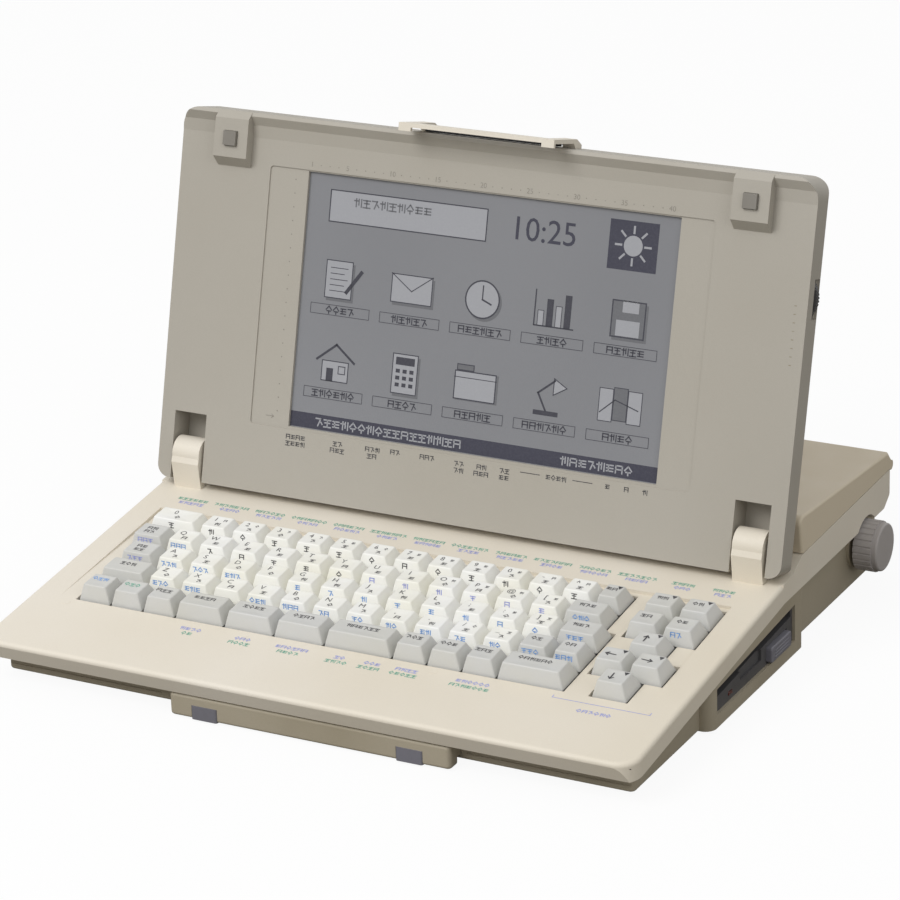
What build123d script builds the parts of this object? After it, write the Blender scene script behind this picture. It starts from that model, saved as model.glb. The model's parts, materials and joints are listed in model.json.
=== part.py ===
from build123d import *
import math
import os

os.makedirs("parts", exist_ok=True)

# ---------------------------------------------------------------- case sizes
CASE_WIDTH = 361.0
CASE_DEPTH = 323.2
CASE_CORNER = 11.0          # plan radius of the front corners
WALL = 2.6                  # moulded wall of the case
DECK_WALL = 3.2             # thickness of the deck round the keys
FOOT_HEIGHT = 2.6
DECK_TILT = 6.97            # degrees, the keyboard deck slopes to the front
DECK_FRONT_HEIGHT = 23.8
DECK_EDGE_ROUND = 2.4
LIP_UNDERSIDE = 14.0        # height of the front lip's lower edge
LIP_SETBACK = 3.2           # the lip's lower edge stands back from its front
LIP_BELLY = 21.5            # height at which the lip is furthest forward
SKIRT_END = 178.0           # where the sloping skirt turns level
SKIRT_LEVEL = 35.0
SKIRT_REAR = 36.5
REAR_CHAMFER = 12.2
REAR_CHAMFER_TOP = 45.0
STEP_FOOT = 188.3           # foot and top of the rise behind the deck
STEP_TOP = 204.9
LEDGE_FRONT = 52.8          # height of the ledge that carries the printer cover
LEDGE_REAR = 56.0
BODY_INSET = 6.5            # tray walls stand in from the deck's sides
BODY_FRONT = 14.7           # tray's front wall behind the lip
BODY_REAR_INSET = 6.5
BODY_WALL = 2.4
BODY_ROUND = 3.0
REST_GAP = 0.3              # clearance of a piece that only rests on another
RUN_GAP = 0.05              # radial clearance of a shaft in its hole

# --------------------------------------------------------------- lid sizes
LID_THICKNESS = 17.0
LID_FACE = 6.1              # face of the lid ahead of the hinge axis
LID_BELOW_AXIS = 14.4
LID_ABOVE_AXIS = 184.4
LID_CORNER = 11.0
LID_FOOT_CORNER = 7.0
LID_ROLL_FRONT = 8.0
LID_ROLL_REAR = 7.0
LID_EDGE_REAR = 4.5
LID_WALL = 1.8
BEZEL_DEPTH = 5.0           # parting line behind the face
OPEN_ANGLE = 111.5          # from closed to the position shown
HINGE_RUN = 184.4           # hinge axis along and above the deck
HINGE_RISE = 16.1
ARM_WIDTH = 16.4
ARM_OFFSET = 162.5
ARM_BARREL = 8.6
ARM_FRONT = 10.1            # front face ahead of the axis
ARM_FRONT_HEIGHT = 14.4
ARM_BACK = 3.0
ARM_SHOULDER = 2.0
ARM_FOOT = 6.0              # the arm's foot below the deck's surface
NOTCH_WIDTH = 19.4
NOTCH_TOP = 22.1
NOTCH_BACK_WALL = 1.5
HINGE_PIN_RADIUS = 2.5
HINGE_PIN_END = 179.2       # outer end of the pins from the case centre
SCREEN_WIDTH = 212.5
SCREEN_HEIGHT = 134.3
SCREEN_OFFSET = 3.0         # window's centre right of the case centre
SCREEN_LOW = 23.0           # lower edge of the window above the hinge axis
SCREEN_DEPTH = 2.4
POCKET_WIDTH = 254.0        # shallow pocket round the window
POCKET_HEIGHT = 136.4
POCKET_OFFSET = 1.0
POCKET_LOW = 21.6
POCKET_DEPTH = 0.7
RIM_PROUD = 3.6
RIM_HEIGHT = 13.0
BOSS_WIDTH = 20.0
BOSS_LOW = 160.0            # foot of the boss above the hinge axis
BOSS_PROUD = 6.2
BOSS_OFFSET = 147.8
STUD_SIZE = 8.0
STUD_PROUD = 1.8
STUD_SEAT = 2.0
STUD_DROP = 14.4            # centre of the stud below the lid's top edge
WHEEL_RADIUS = 13.5
WHEEL_THICKNESS = 3.2
WHEEL_HEIGHT = 124.7        # centre above the hinge axis
WHEEL_DEPTH = -4.0          # centre plane, behind the hinge axis
WHEEL_PROUD = 1.2
WHEEL_RECESS = 20.0
WHEEL_SINK = 1.5            # depth of the finger recess
WHEEL_SPINDLE = 2.0
LATCH_WIDTH = 88.0
LATCH_ARM = 7.0
LATCH_PLATE = 2.2
LATCH_REACH = 16.5          # hooks ahead of the lid's face
LATCH_RISE = 4.8            # top of the bail above the lid's top edge
LATCH_HOOK = 4.2
LATCH_BAR = 8.6             # depth of the cross bar
LATCH_BOSS = 3.6
LATCH_SLOT_GAP = 0.6
LATCH_SLOT_FOOT = 1.7       # room under the arms' bosses, where the bail swings back
LATCH_PIVOT_DROP = 5.2
LATCH_PIVOT_BACK = 4.5      # pivot ahead of the lid's back
LATCH_PIN_RADIUS = 1.5
LATCH_PIN_REACH = 4.0       # the pin's reach beyond the arm on each side
GLASS_THICKNESS = 1.1
PANEL_THICKNESS = 6.0
HOLLOW_LOW = -7.0           # the lid's hollow, above the hinge axis
HOLLOW_MIDDLE = 26.0
HOLLOW_HIGH = 169.0
HOLLOW_TOP = 180.5
HOLLOW_INSIDE = 142.0
LAMP_BOARD_X = -90.0
LAMP_BOARD_V = 7.0

# ------------------------------------------------------------ screw sizes
SCREW_RADIUS = 1.5
SCREW_HEAD = 3.0
SCREW_HEAD_HEIGHT = 1.6
SCREW_LENGTH = 18.0
SCREW_LENGTH_REAR = 34.0
COLUMN_RADIUS = 4.5
COLUMN_JOINT = 14.0         # heights at which the two cases' columns meet
COLUMN_JOINT_REAR = 30.0

# ---------------------------------------------------------- keyboard sizes
KEY_PITCH = 19.05
KEY_GAP = 0.9
KEY_FIRST_ROW = 51.1        # front edge of the front row along the deck
KEY_LEFT = -154.0           # left edge of the key block from the case centre
KEY_HEIGHT = 8.0
KEY_SKIRT = 0.8             # cap's lower edge below the key plane
KEY_TOP_SIDE = 2.6          # narrowing of the top on each side
KEY_TOP_FRONT = 1.8
KEY_TOP_BACK = 4.4
KEY_DISH = 24.0             # radius of the hollow in a key's top
KEY_DISH_DEPTH = 0.5
KEY_TRAVEL = 3.0
STEM_SIZE = 5.0
STEM_GAP = 0.3
WELL_GAP = 0.8              # cut-out round the keys
RECESS_SIDE = 10.6          # sloping recess beside and behind the keys
RECESS_BACK = 150.0
RECESS_DEPTH = 1.8
PLATE_TOP = 4.1             # steel plate below the key plane
PLATE_THICKNESS = 0.8
PLATE_MARGIN = 8.0
POST_RADIUS = 2.2
DOME_OUTER = 4.9
DOME_INNER = 3.9
DOME_HEIGHT = 2.8
SHEET_TOP = 9.6             # rubber sheet below the key plane
SHEET_THICKNESS = 0.5
STEM_END = SHEET_TOP - KEY_TRAVEL - REST_GAP    # stem's lower end below the key plane
KEY_BOARD_THICKNESS = 1.0
BLOCK_END = 14.4            # right ends of the rows, in pitches
BLOCK_END_REAR = 14.1
BLOCK_START_REAR = -0.26    # left ends of the two rear rows
CLUSTER_CENTRE = 144.05     # centre of the right-hand keys from the case centre

# ------------------------------------------------------------ handle sizes
HANDLE_LEFT = -72.0
HANDLE_RIGHT = 83.5
HANDLE_FRONT = 3.8
HANDLE_BOTTOM = 1.2
HANDLE_TOP = 13.2
HANDLE_BAR = 9.0
HANDLE_ARM = 9.0
HANDLE_STOP = 5.0           # cross piece at the end of each arm
HANDLE_GUIDE = 6.0          # guides behind the tray's front wall
HANDLE_ARM_THICKNESS = 5.0
HANDLE_TRAVEL = 36.0
PAD_WIDTH = 14.5
PAD_HEIGHT = 7.2
PAD_DEPTH = 1.6
PAD_LEFT_X = -52.0
PAD_RIGHT_X = 61.5

# ----------------------------------------------------------- printer sizes
COVER_FRONT = 197.2
COVER_TOP_FRONT = 73.4
COVER_TOP_REAR = 66.2
COVER_TOP_END = 316.5
COVER_LEAN = 3.4            # front wall stands back at its foot
COVER_ROUND = 4.0
COVER_PIVOT_INSET = 2.7
COVER_PIVOT_HEIGHT = 57.8
COVER_GAP = 0.4
COVER_WALL = 2.2
COVER_PIN_RADIUS = 1.2
COVER_PIN_LENGTH = 30.0
KNUCKLE_WIDTH = 10.0
KNUCKLE_OFFSET = 140.0
BAY_SIDE = 14.0             # printer bay inside the case walls
BAY_FRONT = 222.0
BAY_REAR = 312.0
PLATEN_Y = 286.7
PLATEN_HEIGHT = 25.5
PLATEN_RADIUS = 12.0
PLATEN_LENGTH = 268.0
PLATEN_SHAFT = 4.0
KNOB_RADIUS = 13.6
KNOB_OUT = 10.5
KNOB_INNER_GAP = 2.6
KNOB_HOLE = 15.8
KNOB_FLUTES = 24
KNOB_FLUTE_RADIUS = 0.7
KNOB_RIM = 3.2
FRAME_PLATE = 2.0
FRAME_HALF = 150.0
FRAME_FRONT = 228.0
FRAME_REAR = 306.0
FRAME_BASE = 5.0
FRAME_TOP = 44.0
GEAR_MODULE = 0.8
PLATEN_TEETH = 36
PINION_TEETH = 12
GEAR_WIDTH = 4.0
PINCH_RADIUS = 4.2
PINCH_SHAFT = 2.0
PINCH_LENGTH = 30.0
PINCH_ANGLE = 250.0         # degrees round the platen, seen from its right
ROD_Y = 252.0
ROD_HEIGHT = 26.0
ROD_RADIUS = 4.0
CARRIAGE_WIDTH = 52.0
CARRIAGE_TRAVEL = 224.0
CARRIAGE_HOME = -CARRIAGE_TRAVEL / 2
CASSETTE_WIDTH = 66.0
CASSETTE_THICKNESS = 10.0
HEAD_WIDTH = 12.0
BELT_Y = 236.5
BELT_HEIGHT = 20.0
BELT_THICKNESS = 1.0
BELT_WIDTH = 4.0
PULLEY_RADIUS = 5.0
PULLEY_OFFSET = 140.0
PULLEY_PIN = 1.5
CARRIAGE_MOTOR_HALF = 9.0
CARRIAGE_MOTOR_TOP = 16.0
CARRIAGE_PLATE = 2.5
RAIL_TOP = 33.7
BASE_REAR = 268.0
GUIDE_RADIUS = 13.2
GUIDE_THICKNESS = 1.0
PINCH_PLACES = (-96.0, -32.0, 32.0, 96.0)
MOTOR_RADIUS = 13.0
MOTOR_SHAFT = 1.5
CASSETTE_D = 250.0
CASSETTE_DEPTH = 36.0

# -------------------------------------------------------- disk drive sizes
DRIVE_FRONT = 95.0
DRIVE_WIDTH = 96.0
DRIVE_LOW = 9.6
DRIVE_HIGH_FRONT = 23.0
DRIVE_HIGH_REAR = 29.4
BUMP_FRONT = 88.5
BUMP_REAR = 204.0
BUMP_ROUND = 6.0
BEZEL_RECESS = 1.6
BEZEL_PLATE = 3.0
DRIVE_LENGTH = 104.0
DRIVE_HEIGHT = 12.6
SLOT_LENGTH = 91.5
SLOT_HEIGHT = 5.2
SLOT_TILT = 3.7
SLOT_CENTRE_HEIGHT = 22.9
SLOT_REACH = 92.0
EJECT_Y = 171.0
EJECT_HEIGHT = 14.6
EJECT_SIZE = (25.0, 8.4)
EJECT_PROUD = 3.0
EJECT_TRAVEL = 3.0
EJECT_ROOM = EJECT_TRAVEL + 6.0    # pocket behind the button
DRIVE_SHELL = 0.6
LAMP_Y = 114.0
LAMP_HEIGHT = 13.4

# ------------------------------------------------------------- power sizes
FOOT_RADIUS = 7.0
INLET_X = -125.0
INLET_HEIGHT = 20.0
INLET_SIZE = (20.0, 13.0)
INLET_DEPTH = 16.0
SWITCH_X = -95.0
SWITCH_SIZE = (12.0, 18.0)
SWITCH_PIVOT = 4.2          # pivot inside the rear wall's face
SWITCH_PIN = 1.5
SWITCH_LEAN = -6.0

# ----------------------------------------------------------- derived places
CASE_X = -KNOB_OUT / 2
Y_FRONT = -CASE_DEPTH / 2
TILT = math.radians(DECK_TILT)
LEAN = math.radians(180 - OPEN_ANGLE + DECK_TILT)
HALF = CASE_WIDTH / 2
BODY_HALF = HALF - BODY_INSET
BODY_REAR = CASE_DEPTH - BODY_REAR_INSET
HINGE_Y = Y_FRONT + HINGE_RUN * math.cos(TILT) - HINGE_RISE * math.sin(TILT)
HINGE_Z = DECK_FRONT_HEIGHT + HINGE_RUN * math.sin(TILT) + HINGE_RISE * math.cos(TILT)
LID_BACK = LID_FACE - LID_THICKNESS
PARTING = LID_FACE - BEZEL_DEPTH
LID_HEIGHT = LID_ABOVE_AXIS + LID_BELOW_AXIS
PIVOT_D = CASE_DEPTH - COVER_PIVOT_INSET

# Side planes: first axis to the rear or up the lid, second axis up or outwards.
CASE_SIDE = Plane(origin=(CASE_X, Y_FRONT, 0), x_dir=(0, 1, 0), z_dir=(1, 0, 0))
DECK = Plane(origin=(CASE_X, Y_FRONT, DECK_FRONT_HEIGHT), x_dir=(1, 0, 0),
             z_dir=(0, -math.sin(TILT), math.cos(TILT)))
DECK_SIDE = Plane(origin=DECK.origin, x_dir=(0, math.cos(TILT), math.sin(TILT)), z_dir=(1, 0, 0))
KEY_TILT = TILT - math.atan(RECESS_DEPTH / (RECESS_BACK - KEY_FIRST_ROW))
KEYS = Plane(origin=DECK.origin + KEY_FIRST_ROW * DECK_SIDE.x_dir, x_dir=(1, 0, 0),
             z_dir=(0, -math.sin(KEY_TILT), math.cos(KEY_TILT)))
KEY_END = Plane(origin=KEYS.origin, x_dir=(1, 0, 0), z_dir=(0, -math.cos(KEY_TILT), -math.sin(KEY_TILT)))
LID = Plane(origin=(CASE_X, HINGE_Y, HINGE_Z), x_dir=(1, 0, 0),
            z_dir=(0, -math.sin(LEAN), math.cos(LEAN)))
LID_SIDE = Plane(origin=LID.origin, x_dir=(0, math.cos(LEAN), math.sin(LEAN)), z_dir=(1, 0, 0))
LID_UP = Plane(origin=LID.origin, x_dir=(1, 0, 0), z_dir=(0, math.cos(LEAN), math.sin(LEAN)))


def deck_height(distance):
    """Height of the deck's surface at a distance from the case's front."""
    return DECK_FRONT_HEIGHT + distance * math.tan(TILT)


def skirt_height(distance):
    """Height of the skirt's lower edge at a distance from the case's front."""
    if distance < SKIRT_END:
        share = (distance - LIP_SETBACK) / (SKIRT_END - LIP_SETBACK)
        return LIP_UNDERSIDE + share * (SKIRT_LEVEL - LIP_UNDERSIDE)
    share = (distance - SKIRT_END) / (CASE_DEPTH - REAR_CHAMFER - SKIRT_END)
    return SKIRT_LEVEL + share * (SKIRT_REAR - SKIRT_LEVEL)


def ledge_height(distance):
    """Height of the ledge under the printer cover."""
    share = (distance - STEP_TOP) / (CASE_DEPTH - STEP_TOP)
    return LEDGE_FRONT + share * (LEDGE_REAR - LEDGE_FRONT)


def finish(name, label):
    """Label a finished piece and write its file."""
    name.part.label = label
    export_step(name.part, f"parts/{label}.step")


DECK_OUTLINE = [
    (LIP_SETBACK, LIP_UNDERSIDE), (0, LIP_BELLY), (0, deck_height(0)),
    (STEP_TOP, deck_height(STEP_TOP)), (STEP_TOP, skirt_height(STEP_TOP)), (SKIRT_END, SKIRT_LEVEL),
]
HOUSING_OUTLINE = [
    (STEP_FOOT - 12, skirt_height(STEP_FOOT - 12)), (STEP_FOOT - 12, deck_height(STEP_FOOT - 12)),
    (STEP_FOOT, deck_height(STEP_FOOT)), (STEP_TOP - 5, ledge_height(STEP_TOP) - 0.4),
    (STEP_TOP + 1, ledge_height(STEP_TOP + 1)), (CASE_DEPTH, LEDGE_REAR), (CASE_DEPTH, REAR_CHAMFER_TOP),
    (CASE_DEPTH - REAR_CHAMFER, SKIRT_REAR), (SKIRT_END, SKIRT_LEVEL),
]
CAVITY_OUTLINE = [
    (LIP_SETBACK + WALL, skirt_height(LIP_SETBACK) + 2 * WALL),
    (WALL + 0.4, deck_height(WALL) - DECK_WALL),
    (STEP_FOOT, deck_height(STEP_FOOT) - DECK_WALL), (STEP_TOP, LEDGE_FRONT - DECK_WALL),
    (CASE_DEPTH - WALL, LEDGE_REAR - WALL), (CASE_DEPTH - WALL, REAR_CHAMFER_TOP + 1),
    (CASE_DEPTH - REAR_CHAMFER - 1, SKIRT_REAR + WALL), (SKIRT_END, SKIRT_LEVEL + WALL),
]

# ------------------------------------------------------------- upper case
with BuildPart() as deck_block:
    with BuildSketch(CASE_SIDE):
        with BuildLine():
            Polyline(*DECK_OUTLINE, close=True)
        make_face()
    extrude(amount=HALF, both=True)
    with BuildSketch(Plane.XY):
        with Locations((CASE_X, Y_FRONT + CASE_DEPTH)):
            RectangleRounded(CASE_WIDTH, 2 * CASE_DEPTH, CASE_CORNER)
    extrude(amount=LEDGE_REAR, mode=Mode.INTERSECT)
    deck_top = faces().filter_by(lambda f: f.normal_at().Z > 0.9).sort_by(SortBy.AREA)[-1]
    fillet(deck_top.edges().filter_by(lambda e: (e @ 0.5).Y < Y_FRONT + STEP_TOP - 1), DECK_EDGE_ROUND)

with BuildPart() as housing_block:
    with BuildSketch(CASE_SIDE):
        with BuildLine():
            Polyline(*HOUSING_OUTLINE, close=True)
        make_face()
    extrude(amount=HALF, both=True)
    fillet(edges().filter_by(Axis.Z).group_by(Axis.Y)[-1], CASE_CORNER / 2)


def key_row(start, lengths, end):
    """Left edge and width, in pitches, of the keys of a row that runs from start to end."""
    keys = []
    for length in lengths:
        keys.append((start, length))
        start += length
    return keys + [(start, end - start)]


ROWS = [
    key_row(0, [1, 1, 1, 1.5, 1.5, 1.5, 2, 1, 1, 1], BLOCK_END),
    key_row(0, [1.5] + [1] * 12, BLOCK_END),
    key_row(0, [1.15] + [1] * 12, BLOCK_END),
    key_row(BLOCK_START_REAR, [0.85 - BLOCK_START_REAR] + [1] * 12, BLOCK_END_REAR),
    key_row(BLOCK_START_REAR, [1.3 - BLOCK_START_REAR] + [1] * 12, BLOCK_END_REAR),
]
ROW_NAMES = ["function_row_keys", "lower_row_keys", "home_row_keys", "upper_row_keys", "number_row_keys"]
SPACE_KEY = 6
# Right-hand keys: name, column from the cluster's centre in pitches, row.
CLUSTER = [
    ("key_cursor_down", 0.0, 0), ("key_cursor_left", -0.5, 1), ("key_cursor_right", 0.5, 1),
    ("key_cursor_up", 0.0, 2), ("key_print", -0.5, 3), ("key_menu", 0.5, 3),
    ("key_insert", -0.5, 4), ("key_delete", 0.5, 4),
]


def key_cell(start, length, row):
    """Centre and width of a key of the main block, on the key plane."""
    return KEY_LEFT + (start + length / 2) * KEY_PITCH, (row + 0.5) * KEY_PITCH, length * KEY_PITCH


def cluster_cell(column, row):
    """Centre and width of one of the right-hand keys, on the key plane."""
    return CLUSTER_CENTRE + column * KEY_PITCH, (row + 0.5) * KEY_PITCH, KEY_PITCH


ROW_CELLS = [[key_cell(start, length, row) for start, length in keys] for row, keys in enumerate(ROWS)]
CLUSTER_CELLS = {name: cluster_cell(column, row) for name, column, row in CLUSTER}
ALL_CELLS = sum(ROW_CELLS, []) + list(CLUSTER_CELLS.values())
POSTS = [(x, y) for x in (-158.0, -53.0, 53.0, 166.0) for y in (-4.5, 5 * KEY_PITCH + 4.5)]
SCREWS = [(x, y) for x in (-154.0, 0.0, 154.0) for y in (33.0, 213.0)]


def body_band(low, high):
    """Closed outline of a band that follows the skirt's lower edge inside the tray's walls."""
    front, rear = BODY_FRONT + BODY_WALL, BODY_REAR - BODY_WALL
    return [(front, skirt_height(front) + low), (SKIRT_END, SKIRT_LEVEL + low),
            (rear, skirt_height(rear) + low), (rear, skirt_height(rear) + high),
            (SKIRT_END, SKIRT_LEVEL + high), (front, skirt_height(front) + high)]


KNOB_AXIS = Plane(origin=(CASE_X, Y_FRONT + PLATEN_Y, PLATEN_HEIGHT), x_dir=(0, 1, 0), z_dir=(1, 0, 0))
PIVOT = Plane(origin=(CASE_X, Y_FRONT + PIVOT_D, COVER_PIVOT_HEIGHT), x_dir=(0, 1, 0), z_dir=(1, 0, 0))
KNUCKLES = [-KNUCKLE_OFFSET, KNUCKLE_OFFSET]
ARMS = [-ARM_OFFSET, ARM_OFFSET]

with BuildPart() as upper_case:
    add(deck_block.part)
    add(housing_block.part)
    with BuildSketch(CASE_SIDE):
        with BuildLine():
            Polyline(*CAVITY_OUTLINE, close=True)
        make_face()
    extrude(amount=HALF - WALL, both=True, mode=Mode.SUBTRACT)
    with BuildSketch(CASE_SIDE):
        with BuildLine():
            Polyline(*body_band(-BODY_WALL, 2 * WALL), close=True)
        make_face()
    extrude(amount=BODY_HALF - BODY_WALL, both=True, mode=Mode.SUBTRACT)
    # shallow recess that sinks towards the rear keys
    with BuildSketch(DECK_SIDE):
        with BuildLine():
            Polyline((KEY_FIRST_ROW, 0.01), (RECESS_BACK, -RECESS_DEPTH), (RECESS_BACK, 5),
                     (KEY_FIRST_ROW, 5), close=True)
        make_face()
    extrude(amount=-KEY_LEFT + RECESS_SIDE, both=True, mode=Mode.SUBTRACT)
    # key wells, stepped like the rows
    with BuildSketch(KEYS.offset(-PLATE_TOP)):
        for centre, depth, width in ALL_CELLS:
            with Locations((centre, depth)):
                Rectangle(width + 2 * WELL_GAP, KEY_PITCH + 2 * WELL_GAP)
    extrude(amount=3 * PLATE_TOP, mode=Mode.SUBTRACT)
    # printer bay in the ledge
    with BuildSketch(Plane.XY.offset(LEDGE_FRONT - 2 * WALL)):
        with Locations((CASE_X, Y_FRONT + (BAY_FRONT + BAY_REAR) / 2)):
            Rectangle(CASE_WIDTH - 2 * BAY_SIDE, BAY_REAR - BAY_FRONT)
    extrude(amount=4 * WALL, mode=Mode.SUBTRACT)
    # seat for the cover's hinge barrel, with two knuckles
    with BuildSketch(PIVOT):
        Circle(COVER_PIVOT_INSET + REST_GAP)
        with Locations((COVER_PIVOT_INSET, 0)):
            Rectangle(2 * COVER_PIVOT_INSET, 2 * (COVER_PIVOT_INSET + REST_GAP))
    extrude(amount=HALF + 1, both=True, mode=Mode.SUBTRACT)
    for x in KNUCKLES:
        with BuildSketch(PIVOT.offset(x)):
            Circle(COVER_PIVOT_INSET)
            with Locations((0, -2 * COVER_PIVOT_INSET)):
                Rectangle(2 * COVER_PIVOT_INSET, 4 * COVER_PIVOT_INSET)
        extrude(amount=KNUCKLE_WIDTH / 2, both=True)
        with BuildSketch(PIVOT.offset(x)):
            Circle(COVER_PIN_RADIUS + RUN_GAP)
        extrude(amount=KNUCKLE_WIDTH, both=True, mode=Mode.SUBTRACT)
    # hole for the platen knob in the right-hand skirt
    with BuildSketch(KNOB_AXIS.offset(BODY_HALF - BODY_WALL)):
        Circle(KNOB_HOLE)
    extrude(amount=CASE_WIDTH, mode=Mode.SUBTRACT)
    # sockets that take the hinge arms' feet
    with BuildSketch(DECK.offset(-2 * DECK_WALL)):
        for x in ARMS:
            with Locations((x, HINGE_RUN - (ARM_FRONT - ARM_BACK) / 2)):
                Rectangle(ARM_WIDTH - 2 * ARM_SHOULDER, ARM_FRONT + ARM_BACK - 2 * ARM_SHOULDER)
    extrude(amount=4 * DECK_WALL, mode=Mode.SUBTRACT)
    # posts that hold the keyboard plate, and columns that take the screws
    with BuildSketch(KEYS.offset(-PLATE_TOP)):
        with Locations(*POSTS):
            Circle(POST_RADIUS)
    extrude(amount=PLATE_TOP)
    for x, d in SCREWS:
        with BuildSketch(Plane.XY.offset(COLUMN_JOINT if d < STEP_FOOT else COLUMN_JOINT_REAR)):
            with Locations((CASE_X + x, Y_FRONT + d)):
                Circle(COLUMN_RADIUS)
        extrude(until=Until.NEXT)
    for x, d in SCREWS:
        with BuildSketch(Plane.XY.offset(FOOT_HEIGHT)):
            with Locations((CASE_X + x, Y_FRONT + d)):
                Circle(SCREW_RADIUS + RUN_GAP)
        extrude(amount=(SCREW_LENGTH if d < STEP_FOOT else SCREW_LENGTH_REAR) + 1, mode=Mode.SUBTRACT)
finish(upper_case, "upper_case")

# ------------------------------------------------------------- lower case
TRAY_OUTLINE = [
    (BODY_FRONT, FOOT_HEIGHT), (BODY_FRONT, skirt_height(BODY_FRONT)), (SKIRT_END, SKIRT_LEVEL),
    (BODY_REAR, skirt_height(BODY_REAR)), (BODY_REAR, FOOT_HEIGHT),
]
TRAY_FLOOR = FOOT_HEIGHT + BODY_WALL
TRAY_CAVITY = [
    (BODY_FRONT + BODY_WALL, TRAY_FLOOR), (BODY_FRONT + BODY_WALL, skirt_height(BODY_FRONT) + 5),
    (SKIRT_END, SKIRT_LEVEL + 5), (BODY_REAR - BODY_WALL, SKIRT_LEVEL + 5),
    (BODY_REAR - BODY_WALL, TRAY_FLOOR),
]
BEZEL_OUTLINE = [
    (DRIVE_FRONT, DRIVE_LOW), (DRIVE_FRONT, DRIVE_HIGH_FRONT),
    (DRIVE_FRONT + DRIVE_WIDTH, DRIVE_HIGH_REAR), (DRIVE_FRONT + DRIVE_WIDTH, DRIVE_LOW),
]
BEZEL_X = HALF - BEZEL_RECESS
SLOT = Plane(origin=(CASE_X + BEZEL_X, Y_FRONT + DRIVE_FRONT + DRIVE_WIDTH / 2, SLOT_CENTRE_HEIGHT),
             x_dir=(0, math.cos(math.radians(SLOT_TILT)), math.sin(math.radians(SLOT_TILT))), z_dir=(1, 0, 0))
DRIVE_BOTTOM = DRIVE_HEIGHT - SLOT_HEIGHT / 2 - DRIVE_SHELL


def drive_underside(distance):
    """Height of the disk drive's underside at a distance from the case's front."""
    middle = DRIVE_FRONT + DRIVE_WIDTH / 2
    tilt = math.radians(SLOT_TILT)
    return SLOT_CENTRE_HEIGHT + (distance - middle) * math.tan(tilt) - DRIVE_BOTTOM / math.cos(tilt)


def case_plan(height):
    """The case's plan plane at a height, with its origin at the middle of the front edge."""
    return Plane(origin=(CASE_X, Y_FRONT, height), x_dir=(1, 0, 0), z_dir=(0, 0, 1))


HANDLE_ARMS = [HANDLE_LEFT + HANDLE_ARM / 2, HANDLE_RIGHT - HANDLE_ARM / 2]
HANDLE_MIDDLE = HANDLE_FRONT + HANDLE_BAR / 2
GUIDE_MIDDLE = BODY_FRONT + BODY_WALL + HANDLE_GUIDE / 2
STOP_MIDDLE = GUIDE_MIDDLE + (HANDLE_GUIDE + HANDLE_STOP) / 2 + HANDLE_TRAVEL + REST_GAP
PADS = [PAD_LEFT_X, PAD_RIGHT_X]
MOTOR_ANGLE = math.radians(200)
GEAR_DISTANCE = GEAR_MODULE * (PLATEN_TEETH + PINION_TEETH) / 2
MOTOR_D = PLATEN_Y + GEAR_DISTANCE * math.cos(MOTOR_ANGLE)
MOTOR_H = PLATEN_HEIGHT + GEAR_DISTANCE * math.sin(MOTOR_ANGLE)
PINCH_DISTANCE = PLATEN_RADIUS + PINCH_RADIUS + REST_GAP
PINCH_D = PLATEN_Y + PINCH_DISTANCE * math.cos(math.radians(PINCH_ANGLE))
PINCH_H = PLATEN_HEIGHT + PINCH_DISTANCE * math.sin(math.radians(PINCH_ANGLE))
MAIN_BOARD = (-150.0, 60.0, 78.0, 198.0)
POWER_BOARD = (-140.0, -20.0, 203.0, 226.0)
BOARD_HEIGHT = 9.0
BOARD_THICKNESS = 1.6


def board_bosses(board):
    """Corners, a little inside, of a circuit board."""
    left, right, front, rear = board
    return [(x, y) for x in (left + 4, right - 4) for y in (front + 4, rear - 4)]


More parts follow.
